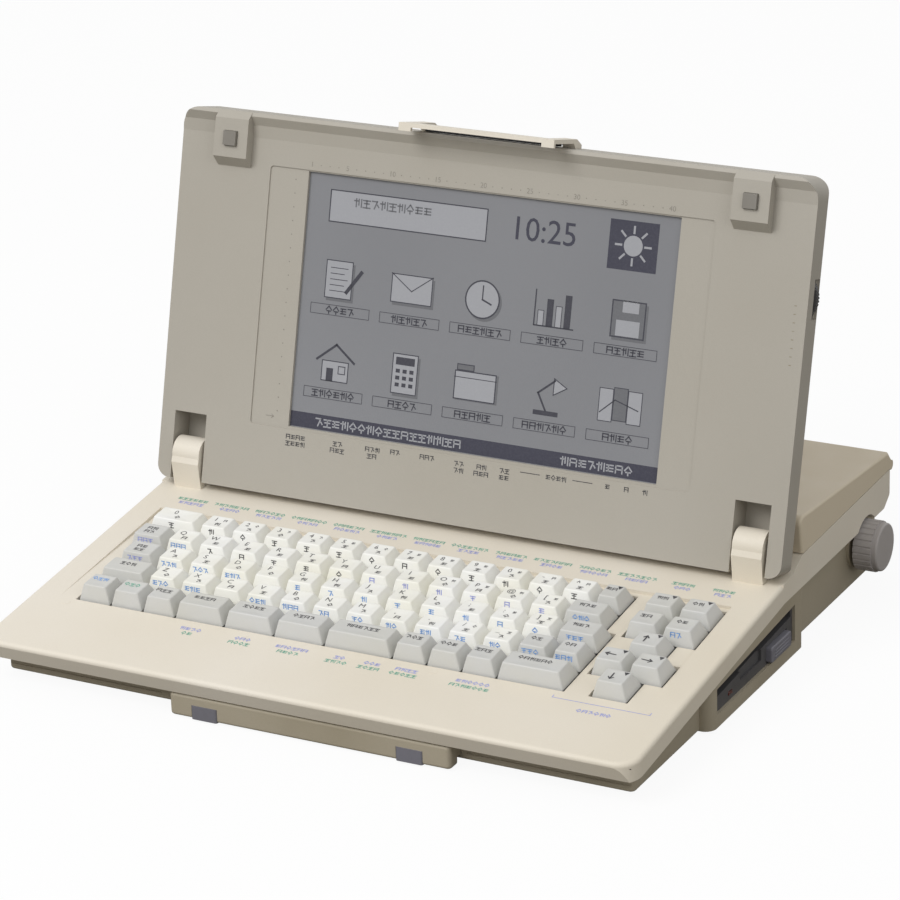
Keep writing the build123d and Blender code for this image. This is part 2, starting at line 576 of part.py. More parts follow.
with BuildPart() as lower_case:
    with BuildSketch(CASE_SIDE):
        with BuildLine():
            Polyline(*TRAY_OUTLINE, close=True)
        make_face()
    extrude(amount=BODY_HALF, both=True)
    fillet(edges().filter_by(Axis.Z), BODY_ROUND)
    fillet(edges().group_by(Axis.Z)[0], BODY_ROUND / 2)
    # raised surround of the disk drive
    with BuildSketch(case_plan(FOOT_HEIGHT)):
        with Locations((BODY_HALF, (BUMP_FRONT + BUMP_REAR) / 2)):
            RectangleRounded(2 * BODY_INSET, BUMP_REAR - BUMP_FRONT, BUMP_ROUND)
    extrude(amount=SKIRT_LEVEL)
    with BuildSketch(CASE_SIDE):
        with BuildLine():
            Polyline(*TRAY_OUTLINE, close=True)
        make_face()
    extrude(amount=HALF, both=True, mode=Mode.INTERSECT)
    with BuildSketch(CASE_SIDE):
        with BuildLine():
            Polyline(*TRAY_CAVITY, close=True)
        make_face()
    extrude(amount=BODY_HALF - BODY_WALL, both=True, mode=Mode.SUBTRACT)
    with BuildSketch(CASE_SIDE.offset(BODY_HALF - 2 * BODY_WALL)):
        with BuildLine():
            Polyline(*BEZEL_OUTLINE, close=True)
        make_face()
    extrude(amount=HALF, mode=Mode.SUBTRACT)
    # collar and hole for the platen shaft
    with BuildSketch(KNOB_AXIS.offset(BODY_HALF - BODY_WALL)):
        Circle(KNOB_RADIUS - 1)
    extrude(amount=BODY_WALL + 1.6)
    with BuildSketch(KNOB_AXIS.offset(BODY_HALF - 2 * BODY_WALL)):
        Circle(PLATEN_SHAFT + RUN_GAP)
    extrude(amount=4 * BODY_WALL, mode=Mode.SUBTRACT)
    # slots in the front wall for the handle's arms, and short guides behind it
    for x in HANDLE_ARMS:
        with BuildSketch(case_plan(TRAY_FLOOR)):
            with Locations((x, BODY_FRONT)):
                Rectangle(HANDLE_ARM + 2 * REST_GAP, 4 * BODY_WALL)
        extrude(amount=HANDLE_ARM_THICKNESS + 2 * REST_GAP, mode=Mode.SUBTRACT)
        with BuildSketch(case_plan(TRAY_FLOOR)):
            with Locations((x - HANDLE_ARM / 2 - REST_GAP - 1, GUIDE_MIDDLE),
                           (x + HANDLE_ARM / 2 + REST_GAP + 1, GUIDE_MIDDLE)):
                Rectangle(2, HANDLE_GUIDE)
        extrude(amount=HANDLE_ARM_THICKNESS)
    # grooves along the front wall
    for height in (FOOT_HEIGHT + 3.4, FOOT_HEIGHT + 6.8):
        with BuildSketch(case_plan(height)):
            with Locations((-HALF / 2 - 38, BODY_FRONT), (HALF / 2 + 42, BODY_FRONT)):
                Rectangle(HALF - 90, 1.0)
        extrude(amount=1.0, mode=Mode.SUBTRACT)
    # ribs under the disk drive
    for x in (BODY_HALF - DRIVE_LENGTH + 12, BODY_HALF - 14):
        with BuildSketch(CASE_SIDE.offset(x)):
            with BuildLine():
                Polyline((DRIVE_FRONT + 3, TRAY_FLOOR - 1),
                         (DRIVE_FRONT + 3, drive_underside(DRIVE_FRONT + 3)),
                         (EJECT_Y - 20, drive_underside(EJECT_Y - 20)), (EJECT_Y - 20, TRAY_FLOOR - 1),
                         close=True)
            make_face()
        extrude(amount=1.2, both=True)
    # bosses under the circuit boards, and screw columns
    with BuildSketch(case_plan(TRAY_FLOOR - 1)):
        with Locations(*(board_bosses(MAIN_BOARD) + board_bosses(POWER_BOARD))):
            Circle(2.6)
    extrude(amount=BOARD_HEIGHT - TRAY_FLOOR + 1)
    for x, d in SCREWS:
        with BuildSketch(case_plan(TRAY_FLOOR - 1)):
            with Locations((x, d)):
                Circle(COLUMN_RADIUS)
        extrude(amount=(COLUMN_JOINT if d < STEP_FOOT else COLUMN_JOINT_REAR) - TRAY_FLOOR + 1)
    with BuildSketch(case_plan(FOOT_HEIGHT)):
        with Locations(*SCREWS):
            Circle(SCREW_RADIUS + RUN_GAP)
    extrude(amount=COLUMN_JOINT_REAR, mode=Mode.SUBTRACT)
    with BuildSketch(case_plan(FOOT_HEIGHT)):
        with Locations(*SCREWS):
            Circle(SCREW_HEAD + RUN_GAP)
    extrude(amount=SCREW_HEAD_HEIGHT, mode=Mode.SUBTRACT)
    # openings for the power inlet and the switch, with the switch's pivot lugs
    with BuildSketch(CASE_SIDE.offset(INLET_X)):
        with Locations((BODY_REAR, INLET_HEIGHT)):
            Rectangle(4 * BODY_WALL, INLET_SIZE[1])
    extrude(amount=INLET_SIZE[0] / 2, both=True, mode=Mode.SUBTRACT)
    with BuildSketch(CASE_SIDE.offset(SWITCH_X)):
        with Locations((BODY_REAR, INLET_HEIGHT)):
            Rectangle(4 * BODY_WALL, SWITCH_SIZE[1] + 2.4)
    extrude(amount=SWITCH_SIZE[0] / 2 + 0.4, both=True, mode=Mode.SUBTRACT)
    for side in (-1, 1):
        with BuildSketch(CASE_SIDE.offset(SWITCH_X + side * (SWITCH_SIZE[0] / 2 + 0.4))):
            with Locations((BODY_REAR - 5.4, INLET_HEIGHT)):
                Rectangle(6.6, 8)
            with Locations((BODY_REAR - SWITCH_PIVOT, INLET_HEIGHT)):
                Circle(SWITCH_PIN + RUN_GAP, mode=Mode.SUBTRACT)
        extrude(amount=side * 2.0)
finish(lower_case, "lower_case")

with BuildPart() as rubber_feet:
    with BuildSketch(case_plan(0)):
        with Locations(*[(x, y) for x in (-140, 140) for y in (40, CASE_DEPTH - 30)]):
            Circle(FOOT_RADIUS)
    extrude(amount=FOOT_HEIGHT)
    chamfer(edges().group_by(Axis.Z)[0], 0.6)
finish(rubber_feet, "rubber_feet")

with BuildPart() as case_screws:
    for x, d in SCREWS:
        with BuildSketch(case_plan(FOOT_HEIGHT)):
            with Locations((x, d)):
                Circle(SCREW_HEAD)
                RegularPolygon(1.2, 4, mode=Mode.SUBTRACT)
        extrude(amount=SCREW_HEAD_HEIGHT)
        with BuildSketch(case_plan(FOOT_HEIGHT + SCREW_HEAD_HEIGHT / 2)):
            with Locations((x, d)):
                Circle(SCREW_RADIUS)
        extrude(amount=SCREW_LENGTH if d < STEP_FOOT else SCREW_LENGTH_REAR)
finish(case_screws, "case_screws")

# -------------------------------------------------------- carrying handle
with BuildPart() as carry_handle:
    with BuildSketch(case_plan(HANDLE_BOTTOM)):
        with Locations(((HANDLE_LEFT + HANDLE_RIGHT) / 2, HANDLE_MIDDLE)):
            RectangleRounded(HANDLE_RIGHT - HANDLE_LEFT, HANDLE_BAR, 2.5)
    extrude(amount=HANDLE_TOP - HANDLE_BOTTOM)
    fillet(edges().filter_by(Axis.X), 1.6)
    for x in HANDLE_ARMS:
        with BuildSketch(case_plan(TRAY_FLOOR + REST_GAP)):
            with Locations((x, (HANDLE_MIDDLE + STOP_MIDDLE) / 2)):
                Rectangle(HANDLE_ARM, STOP_MIDDLE - HANDLE_MIDDLE)
            with Locations((x, STOP_MIDDLE)):
                Rectangle(HANDLE_ARM + 4, HANDLE_STOP)
        extrude(amount=HANDLE_ARM_THICKNESS)
    with BuildSketch(case_plan(HANDLE_BOTTOM - 1)):
        with Locations(*[(x, HANDLE_FRONT) for x in PADS]):
            Rectangle(PAD_WIDTH, 2 * PAD_DEPTH)
    extrude(amount=PAD_HEIGHT + 1, mode=Mode.SUBTRACT)
finish(carry_handle, "carry_handle")

with BuildPart() as handle_pads:
    with BuildSketch(case_plan(HANDLE_BOTTOM)):
        with Locations(*[(x, HANDLE_FRONT + (PAD_DEPTH - 0.6) / 2) for x in PADS]):
            Rectangle(PAD_WIDTH, PAD_DEPTH + 0.6)
    extrude(amount=PAD_HEIGHT)
    fillet(edges().filter_by(Axis.Z).group_by(Axis.Y)[0], 1.2)
finish(handle_pads, "handle_pads")

# ------------------------------------------------------------- keyboard
def key_caps(cells, row):
    """Caps with stems in the given cells of a row; the narrow ones have hollow tops."""
    top_depth = KEY_PITCH - KEY_GAP - KEY_TOP_FRONT - KEY_TOP_BACK
    narrow = [centre for centre, _, width in cells if width < 1.6 * KEY_PITCH]
    with BuildPart() as caps:
        for centre, depth, width in cells:
            with BuildSketch(KEYS.offset(-KEY_SKIRT)):
                with Locations((centre, depth)):
                    RectangleRounded(width - KEY_GAP, KEY_PITCH - KEY_GAP, 0.8)
            with BuildSketch(KEYS.offset(KEY_HEIGHT)):
                with Locations((centre, depth + (KEY_TOP_FRONT - KEY_TOP_BACK) / 2)):
                    RectangleRounded(width - KEY_GAP - 2 * KEY_TOP_SIDE, top_depth, 1.6)
            loft()
        with BuildSketch(KEYS.offset(-STEM_END)):
            with Locations(*[(centre, depth) for centre, depth, _ in cells]):
                Rectangle(STEM_SIZE, STEM_SIZE)
        extrude(amount=STEM_END)
        if narrow:
            with BuildSketch(KEY_END.offset(-row * KEY_PITCH)):
                with Locations(*[(centre, KEY_HEIGHT + KEY_DISH - KEY_DISH_DEPTH) for centre in narrow]):
                    Circle(KEY_DISH)
            extrude(amount=-KEY_PITCH, mode=Mode.SUBTRACT)
    return caps


for row, cells in enumerate(ROW_CELLS):
    others = [cell for number, cell in enumerate(cells) if row > 0 or number != SPACE_KEY]
    finish(key_caps(others, row), ROW_NAMES[row])
finish(key_caps([ROW_CELLS[0][SPACE_KEY]], 0), "space_key")
for name, _, row in CLUSTER:
    finish(key_caps([CLUSTER_CELLS[name]], row), name)

BOARD_LEFT = KEY_LEFT - PLATE_MARGIN
BOARD_RIGHT = CLUSTER_CENTRE + KEY_PITCH + 6
BOARD_SIZE = (BOARD_RIGHT - BOARD_LEFT, 5 * KEY_PITCH + 2 * PLATE_MARGIN)
BOARD_CENTRE = ((BOARD_LEFT + BOARD_RIGHT) / 2, 2.5 * KEY_PITCH)
KEY_PLACES = [(centre, depth) for centre, depth, _ in ALL_CELLS]
SPACERS = [(x, y) for x in (BOARD_LEFT + 3, 0.0, BOARD_RIGHT - 3) for y in (-5.0, 5 * KEY_PITCH + 5.0)]

with BuildPart() as keyboard_plate:
    with BuildSketch(KEYS.offset(-PLATE_TOP - PLATE_THICKNESS)):
        with Locations(BOARD_CENTRE):
            Rectangle(*BOARD_SIZE)
        with Locations(*KEY_PLACES):
            Rectangle(STEM_SIZE + 2 * STEM_GAP, STEM_SIZE + 2 * STEM_GAP, mode=Mode.SUBTRACT)
    extrude(amount=PLATE_THICKNESS)
    with BuildSketch(KEYS.offset(-PLATE_TOP - PLATE_THICKNESS)):
        with Locations(*SPACERS):
            Circle(1.6)
    extrude(amount=-(SHEET_TOP + SHEET_THICKNESS - PLATE_TOP - PLATE_THICKNESS))
finish(keyboard_plate, "keyboard_plate")

with BuildPart() as key_dome_sheet:
    with BuildSketch(KEYS.offset(-SHEET_TOP - SHEET_THICKNESS)):
        with Locations(BOARD_CENTRE):
            Rectangle(*BOARD_SIZE)
        with Locations(*SPACERS):
            Circle(1.6 + REST_GAP, mode=Mode.SUBTRACT)
    extrude(amount=SHEET_THICKNESS)
    with BuildSketch(KEYS.offset(-SHEET_TOP)):
        with Locations(*KEY_PLACES):
            Circle(DOME_OUTER)
            Circle(DOME_INNER, mode=Mode.SUBTRACT)
    extrude(amount=DOME_HEIGHT)
finish(key_dome_sheet, "key_dome_sheet")

with BuildPart() as keyboard_board:
    with BuildSketch(KEYS.offset(-SHEET_TOP - SHEET_THICKNESS - KEY_BOARD_THICKNESS)):
        with Locations(BOARD_CENTRE):
            Rectangle(*BOARD_SIZE)
    extrude(amount=KEY_BOARD_THICKNESS)
finish(keyboard_board, "keyboard_board")


# ------------------------------------------------------- circuit boards
def circuit_board(board, blocks, cans):
    """A board with blocks of (centre x, centre y, size x, size y, height) and round cans."""
    left, right, front, rear = board
    with BuildPart() as circuit:
        with BuildSketch(case_plan(BOARD_HEIGHT)):
            with Locations(((left + right) / 2, (front + rear) / 2)):
                Rectangle(right - left, rear - front)
        extrude(amount=BOARD_THICKNESS)
        for x, y, width, depth, height in blocks:
            with BuildSketch(case_plan(BOARD_HEIGHT + BOARD_THICKNESS)):
                with Locations((x, y)):
                    Rectangle(width, depth)
            extrude(amount=height)
        for x, y, radius, height in cans:
            with BuildSketch(case_plan(BOARD_HEIGHT + BOARD_THICKNESS)):
                with Locations((x, y)):
                    Circle(radius)
            extrude(amount=height)
    return circuit


chips = [(-100 + 34 * number, 105, 24, 24, 2.6) for number in range(4)]
memory = [(-128 + 22 * number, 150, 10, 30, 3.2) for number in range(6)]
sockets = [(-20, 186, 60, 7, 7), (-110, 186, 40, 7, 7), (40, 150, 8, 50, 6)]
finish(circuit_board(MAIN_BOARD, chips + memory + sockets, [(-60, 128, 2.4, 7)]), "main_board")
finish(circuit_board(POWER_BOARD, [(-112, 214.5, 30, 18, 22), (-46, 214.5, 20, 5, 20)],
                     [(-84, 214.5, 7, 20), (-66, 214.5, 7, 20)]), "power_board")

# ------------------------------------------------------------ disk drive
with BuildPart() as drive_bezel:
    with BuildSketch(CASE_SIDE.offset(BEZEL_X - BEZEL_PLATE)):
        with BuildLine():
            Polyline(*BEZEL_OUTLINE, close=True)
        make_face()
    extrude(amount=BEZEL_PLATE)
    with BuildSketch(SLOT.offset(-2 * BEZEL_PLATE)):
        Rectangle(SLOT_LENGTH, SLOT_HEIGHT)
    extrude(amount=4 * BEZEL_PLATE, mode=Mode.SUBTRACT)
    with BuildSketch(CASE_SIDE.offset(BEZEL_X - 2 * BEZEL_PLATE)):
        with Locations((EJECT_Y, EJECT_HEIGHT)):
            Rectangle(EJECT_SIZE[0] + 2 * REST_GAP, EJECT_SIZE[1] + 2 * REST_GAP)
        with Locations((LAMP_Y, LAMP_HEIGHT)):
            Circle(1.3)
    extrude(amount=4 * BEZEL_PLATE, mode=Mode.SUBTRACT)
    with BuildSketch(CASE_SIDE.offset(BEZEL_X - 1.4)):
        with Locations((DRIVE_FRONT + DRIVE_WIDTH / 2 - 4, SLOT_CENTRE_HEIGHT - SLOT_HEIGHT / 2 - 2.6)):
            Rectangle(26, 6)
    extrude(amount=4, mode=Mode.SUBTRACT)
finish(drive_bezel, "drive_bezel")

with BuildPart() as floppy_drive:
    with BuildSketch(SLOT.offset(-BEZEL_PLATE)):
        with Locations((0, SLOT_HEIGHT / 2 + DRIVE_SHELL - DRIVE_HEIGHT / 2)):
            Rectangle(DRIVE_WIDTH - 1.4, DRIVE_HEIGHT)
    extrude(amount=-DRIVE_LENGTH)
    with BuildSketch(SLOT.offset(-BEZEL_PLATE)):
        Rectangle(SLOT_LENGTH, SLOT_HEIGHT)
    extrude(amount=-SLOT_REACH, mode=Mode.SUBTRACT)
    with BuildSketch(CASE_SIDE.offset(BEZEL_X - BEZEL_PLATE - EJECT_ROOM)):
        with Locations((EJECT_Y, EJECT_HEIGHT - 5)):
            Rectangle(EJECT_SIZE[0] + 3, EJECT_SIZE[1] + 11)
    extrude(amount=2 * EJECT_ROOM, mode=Mode.SUBTRACT)
finish(floppy_drive, "floppy_drive")

with BuildPart() as eject_button:
    with BuildSketch(CASE_SIDE.offset(BEZEL_X + EJECT_PROUD)):
        with Locations((EJECT_Y, EJECT_HEIGHT)):
            RectangleRounded(*EJECT_SIZE, 1.6)
    extrude(amount=-EJECT_PROUD - BEZEL_PLATE - 1)
    fillet(faces().sort_by(Axis.X)[-1].edges(), 0.8)
    with BuildSketch(CASE_SIDE.offset(BEZEL_X - BEZEL_PLATE - REST_GAP)):
        with Locations((EJECT_Y, EJECT_HEIGHT - 0.6)):
            Rectangle(EJECT_SIZE[0] + 2, EJECT_SIZE[1])
    extrude(amount=-1.6)
finish(eject_button, "eject_button")

# -------------------------------------------------- power inlet and switch
with BuildPart() as power_inlet:
    with BuildSketch(Plane.XZ.offset(-(Y_FRONT + BODY_REAR))):
        with Locations((CASE_X + INLET_X, INLET_HEIGHT)):
            Rectangle(*INLET_SIZE)
    extrude(amount=INLET_DEPTH)
    with BuildSketch(Plane.XZ.offset(-(Y_FRONT + BODY_REAR))):
        with Locations((CASE_X + INLET_X, INLET_HEIGHT)):
            RectangleRounded(INLET_SIZE[0] - 4, INLET_SIZE[1] - 4, 3.5)
    extrude(amount=INLET_DEPTH - 2.4, mode=Mode.SUBTRACT)
    with BuildSketch(Plane.XZ.offset(-(Y_FRONT + BODY_REAR - 1.5))):
        with Locations((CASE_X + INLET_X - 4.3, INLET_HEIGHT), (CASE_X + INLET_X + 4.3, INLET_HEIGHT)):
            Circle(1.1)
    extrude(amount=INLET_DEPTH - 2.5)
finish(power_inlet, "power_inlet")

SWITCH = Plane(origin=(CASE_X + SWITCH_X, Y_FRONT + BODY_REAR - SWITCH_PIVOT, INLET_HEIGHT),
               x_dir=(0, math.cos(math.radians(SWITCH_LEAN)), math.sin(math.radians(SWITCH_LEAN))),
               z_dir=(1, 0, 0))
with BuildPart() as power_switch:
    with BuildSketch(SWITCH):
        with BuildLine():
            Polyline((-1.6, -SWITCH_SIZE[1] / 2 + 1), (SWITCH_PIVOT + 0.6, -SWITCH_SIZE[1] / 2),
                     (SWITCH_PIVOT - 0.6, 0), (SWITCH_PIVOT + 0.6, SWITCH_SIZE[1] / 2),
                     (-1.6, SWITCH_SIZE[1] / 2 - 1), close=True)
        make_face()
    extrude(amount=SWITCH_SIZE[0] / 2, both=True)
    with BuildSketch(SWITCH):
        Circle(SWITCH_PIN)
    extrude(amount=SWITCH_SIZE[0] / 2 + 2.2, both=True)
finish(power_switch, "power_switch")

# -------------------------------------------------------------------- lid
LID_PROFILE = [
    (-LID_BELOW_AXIS, LID_BACK), (-LID_BELOW_AXIS, LID_FACE), (LID_ABOVE_AXIS - RIM_HEIGHT, LID_FACE),
    (LID_ABOVE_AXIS - RIM_HEIGHT / 2, LID_FACE + RIM_PROUD / 4), (LID_ABOVE_AXIS - 2, LID_FACE + RIM_PROUD),
    (LID_ABOVE_AXIS, LID_FACE + RIM_PROUD - 1), (LID_ABOVE_AXIS, LID_BACK),
]
LID_PLAN_DEPTH = 2 * (BOSS_PROUD + LID_THICKNESS)
LATCH_PIVOT_V = LID_ABOVE_AXIS - LATCH_PIVOT_DROP
LATCH_PIVOT_O = LID_BACK + LATCH_PIVOT_BACK
LATCH_SLOT_LOW = LATCH_PIVOT_V - LATCH_BOSS - LATCH_SLOT_FOOT
LATCH_SLOTS = [-LATCH_WIDTH / 2 + LATCH_ARM / 2, LATCH_WIDTH / 2 - LATCH_ARM / 2]
BOSSES = [-BOSS_OFFSET, BOSS_OFFSET]
WHEEL_X = HALF + WHEEL_PROUD - WHEEL_RADIUS
HINGE_AXIS = Plane(origin=LID.origin, x_dir=(0, 1, 0), z_dir=(1, 0, 0))
LATCH_AXIS = Plane(origin=LID.origin + LATCH_PIVOT_V * LID_UP.z_dir + LATCH_PIVOT_O * LID.z_dir,
                   x_dir=(0, 1, 0), z_dir=(1, 0, 0))

with BuildPart() as lid_block:
    with BuildSketch(LID_SIDE):
        with BuildLine():
            Polyline(*LID_PROFILE, close=True)
        make_face()
        fillet(vertices().sort_by(Axis.X)[:2].sort_by(Axis.Y)[:1], LID_ROLL_REAR)
        fillet(vertices().sort_by(Axis.X)[:1], LID_ROLL_FRONT)
    extrude(amount=HALF, both=True)
    with BuildSketch(LID_UP.offset(-LID_HEIGHT)):
        with Locations((0, -LID_BACK - LID_PLAN_DEPTH / 2)):
            RectangleRounded(CASE_WIDTH, LID_PLAN_DEPTH, LID_EDGE_REAR)
    extrude(amount=3 * LID_HEIGHT, mode=Mode.INTERSECT)
    with BuildSketch(LID.offset(LID_BACK)):
        with Locations((0, (LID_ABOVE_AXIS - LID_BELOW_AXIS) / 2)):
            Rectangle(CASE_WIDTH, LID_HEIGHT)
        fillet(vertices().group_by(Axis.Y)[-1], LID_CORNER)
        fillet(vertices().group_by(Axis.Y)[0], LID_FOOT_CORNER)
    extrude(amount=2 * LID_THICKNESS, mode=Mode.INTERSECT)
    # bosses with seats for the studs
    for x in BOSSES:
        with BuildSketch(LID_SIDE.offset(x)):
            with BuildLine():
                Polyline((BOSS_LOW - 5, LID_FACE - 1), (BOSS_LOW - 5, LID_FACE),
                         (BOSS_LOW, LID_FACE + BOSS_PROUD),
                         (LID_ABOVE_AXIS - 4, LID_FACE + BOSS_PROUD),
                         (LID_ABOVE_AXIS, LID_FACE + RIM_PROUD - 1),
                         (LID_ABOVE_AXIS, LID_FACE - 1), close=True)
            make_face()
        extrude(amount=BOSS_WIDTH / 2, both=True)
    with BuildSketch(LID.offset(LID_FACE + BOSS_PROUD - STUD_SEAT)):
        with Locations(*[(x, LID_ABOVE_AXIS - STUD_DROP) for x in BOSSES]):
            Rectangle(STUD_SIZE, STUD_SIZE)
    extrude(amount=2 * STUD_SEAT, mode=Mode.SUBTRACT)
    # pocket and window of the screen
    with BuildSketch(LID.offset(LID_FACE - POCKET_DEPTH)):
        with Locations((POCKET_OFFSET, POCKET_LOW + POCKET_HEIGHT / 2)):
            RectangleRounded(POCKET_WIDTH, POCKET_HEIGHT, 2)
    extrude(amount=2 * POCKET_DEPTH, mode=Mode.SUBTRACT)
    # notches round the hinge arms
    with BuildSketch(LID.offset(LID_BACK + NOTCH_BACK_WALL)):
        with Locations(*[(x, NOTCH_TOP - LID_HEIGHT / 2) for x in ARMS]):
            Rectangle(NOTCH_WIDTH, LID_HEIGHT)
    extrude(amount=2 * LID_THICKNESS, mode=Mode.SUBTRACT)
    # slots for the latch's arms
    with BuildSketch(LID.offset(LID_BACK - 1)):
        with Locations(*[(x, LATCH_SLOT_LOW + LID_HEIGHT / 2) for x in LATCH_SLOTS]):
            Rectangle(LATCH_ARM + 2 * LATCH_SLOT_GAP, LID_HEIGHT)
    extrude(amount=1 + LATCH_PIVOT_BACK + LATCH_BOSS + LATCH_SLOT_GAP, mode=Mode.SUBTRACT)
    # recess for the contrast wheel, and the slot it turns in
    with BuildSketch(LID.offset(WHEEL_DEPTH - WHEEL_THICKNESS / 2 - 1.6)):
        with Locations((HALF, WHEEL_HEIGHT)):
            Rectangle(2 * WHEEL_SINK, WHEEL_RECESS)
    extrude(amount=WHEEL_THICKNESS + 3.2, mode=Mode.SUBTRACT)
    with BuildSketch(LID.offset(WHEEL_DEPTH - WHEEL_THICKNESS / 2 - REST_GAP)):
        with Locations((HALF, WHEEL_HEIGHT)):
            Rectangle(WHEEL_RADIUS, WHEEL_RECESS)
    extrude(amount=WHEEL_THICKNESS + 2 * REST_GAP, mode=Mode.SUBTRACT)
    with BuildSketch(HINGE_AXIS):
        Circle(HINGE_PIN_RADIUS + RUN_GAP)
    extrude(amount=HINGE_PIN_END, both=True, mode=Mode.SUBTRACT)
    with BuildSketch(LATCH_AXIS):
        Circle(LATCH_PIN_RADIUS + RUN_GAP)
    extrude(amount=LATCH_WIDTH / 2 + LATCH_PIN_REACH, both=True, mode=Mode.SUBTRACT)


def lid_hollow(low, high):
    """The lid's hollow between two levels, which leaves blocks at the hinges and the latch."""
    with BuildPart() as hollow:
        with BuildSketch(LID.offset(low)):
            with Locations((0, (HOLLOW_LOW + HOLLOW_MIDDLE) / 2)):
                Rectangle(2 * HOLLOW_INSIDE, HOLLOW_MIDDLE - HOLLOW_LOW)
            with Locations((0, (HOLLOW_MIDDLE + HOLLOW_HIGH) / 2)):
                Rectangle(2 * (HALF - LID_WALL), HOLLOW_HIGH - HOLLOW_MIDDLE)
            for x in (-1, 1):
                with Locations((x * (HALF + LATCH_WIDTH / 2) / 2, (HOLLOW_HIGH + HOLLOW_TOP) / 2)):
                    Rectangle(HALF - 24 - LATCH_WIDTH / 2, HOLLOW_TOP - HOLLOW_HIGH)
        extrude(amount=high - low)
    return hollow


with BuildPart() as lid_bezel:
    add(lid_block.part)
    split(bisect_by=LID.offset(PARTING), keep=Keep.TOP)
    with BuildSketch(LID.offset(PARTING)):
        with Locations((SCREEN_OFFSET, SCREEN_LOW + SCREEN_HEIGHT / 2)):
            Rectangle(SCREEN_WIDTH, SCREEN_HEIGHT)
    extrude(amount=LID_THICKNESS, mode=Mode.SUBTRACT)
    add(lid_hollow(PARTING, LID_FACE - SCREEN_DEPTH).part, mode=Mode.SUBTRACT)
finish(lid_bezel, "lid_bezel")

PANEL_CENTRE = (SCREEN_OFFSET, SCREEN_LOW + SCREEN_HEIGHT / 2)
PANEL_SIZE = (SCREEN_WIDTH + 14, SCREEN_HEIGHT + 12)
PANEL_FRONT = LID_FACE - SCREEN_DEPTH - GLASS_THICKNESS
PANEL_BACK = PANEL_FRONT - PANEL_THICKNESS
BACK_INSIDE = LID_BACK + LID_WALL
with BuildPart() as lid_back_cover:
    add(lid_block.part)
    split(bisect_by=LID.offset(PARTING), keep=Keep.BOTTOM)
    add(lid_hollow(BACK_INSIDE, PARTING).part, mode=Mode.SUBTRACT)
    # supports of the panel and of the lamp board, and the wheel's spindle
    with BuildSketch(LID.offset(BACK_INSIDE - 0.5)):
        with GridLocations(PANEL_SIZE[0] - 8, PANEL_SIZE[1] - 8, 2, 2):
            with Locations(PANEL_CENTRE):
                Circle(3)
    extrude(amount=PANEL_BACK - BACK_INSIDE + 0.5)
    with BuildSketch(LID.offset(BACK_INSIDE - 0.5)):
        with Locations(*[(x, LAMP_BOARD_V) for x in (LAMP_BOARD_X - 30, LAMP_BOARD_X + 30)]):
            Circle(2)
    extrude(amount=2.5)
    with BuildSketch(LID.offset(BACK_INSIDE - 0.5)):
        with Locations((WHEEL_X, WHEEL_HEIGHT)):
            Circle(WHEEL_SPINDLE)
    extrude(amount=WHEEL_DEPTH + WHEEL_THICKNESS / 2 + 0.6 - BACK_INSIDE + 0.5)
    with BuildSketch(LID.offset(BACK_INSIDE - 0.5)):
        with Locations((WHEEL_X, WHEEL_HEIGHT)):
            Circle(WHEEL_SPINDLE + 2.5)
    extrude(amount=WHEEL_DEPTH - WHEEL_THICKNESS / 2 - REST_GAP - BACK_INSIDE + 0.5)
finish(lid_back_cover, "lid_back_cover")

with BuildPart() as lcd_glass:
    with BuildSketch(LID.offset(PANEL_FRONT)):
        with Locations(PANEL_CENTRE):
            Rectangle(SCREEN_WIDTH + 8, SCREEN_HEIGHT + 8)
    extrude(amount=GLASS_THICKNESS)
finish(lcd_glass, "lcd_glass")

with BuildPart() as lcd_panel:
    with BuildSketch(LID.offset(PANEL_BACK)):
        with Locations(PANEL_CENTRE):
            Rectangle(*PANEL_SIZE)
    extrude(amount=PANEL_THICKNESS)
    with BuildSketch(LID.offset(PANEL_BACK)):
        with Locations((SCREEN_OFFSET, PANEL_CENTRE[1] + PANEL_SIZE[1] / 2 - 12)):
            Rectangle(PANEL_SIZE[0] - 40, 10)
    extrude(amount=-2.0)
finish(lcd_panel, "lcd_panel")

with BuildPart() as inverter_board:
    with BuildSketch(LID.offset(BACK_INSIDE + 2.0)):
        with Locations((LAMP_BOARD_X, LAMP_BOARD_V)):
            Rectangle(80, 14)
    extrude(amount=1.2)
    with BuildSketch(LID.offset(BACK_INSIDE + 3.2)):
        with Locations((LAMP_BOARD_X - 20, LAMP_BOARD_V), (LAMP_BOARD_X + 14, LAMP_BOARD_V)):
            Rectangle(14, 10)
    extrude(amount=3.6)
finish(inverter_board, "inverter_board")

with BuildPart() as contrast_wheel:
    with BuildSketch(LID.offset(WHEEL_DEPTH - WHEEL_THICKNESS / 2)):
        with Locations((WHEEL_X, WHEEL_HEIGHT)):
            Circle(WHEEL_RADIUS)
            Circle(WHEEL_SPINDLE + RUN_GAP, mode=Mode.SUBTRACT)
            with PolarLocations(WHEEL_RADIUS, 48):
                Rectangle(0.8, 0.7, mode=Mode.SUBTRACT)
    extrude(amount=WHEEL_THICKNESS)
finish(contrast_wheel, "contrast_wheel")

with BuildPart() as lid_studs:
    with BuildSketch(LID.offset(LID_FACE + BOSS_PROUD - STUD_SEAT)):
        with Locations(*[(x, LID_ABOVE_AXIS - STUD_DROP) for x in BOSSES]):
            Rectangle(STUD_SIZE, STUD_SIZE)
    extrude(amount=STUD_SEAT + STUD_PROUD, taper=4)
finish(lid_studs, "lid_studs")

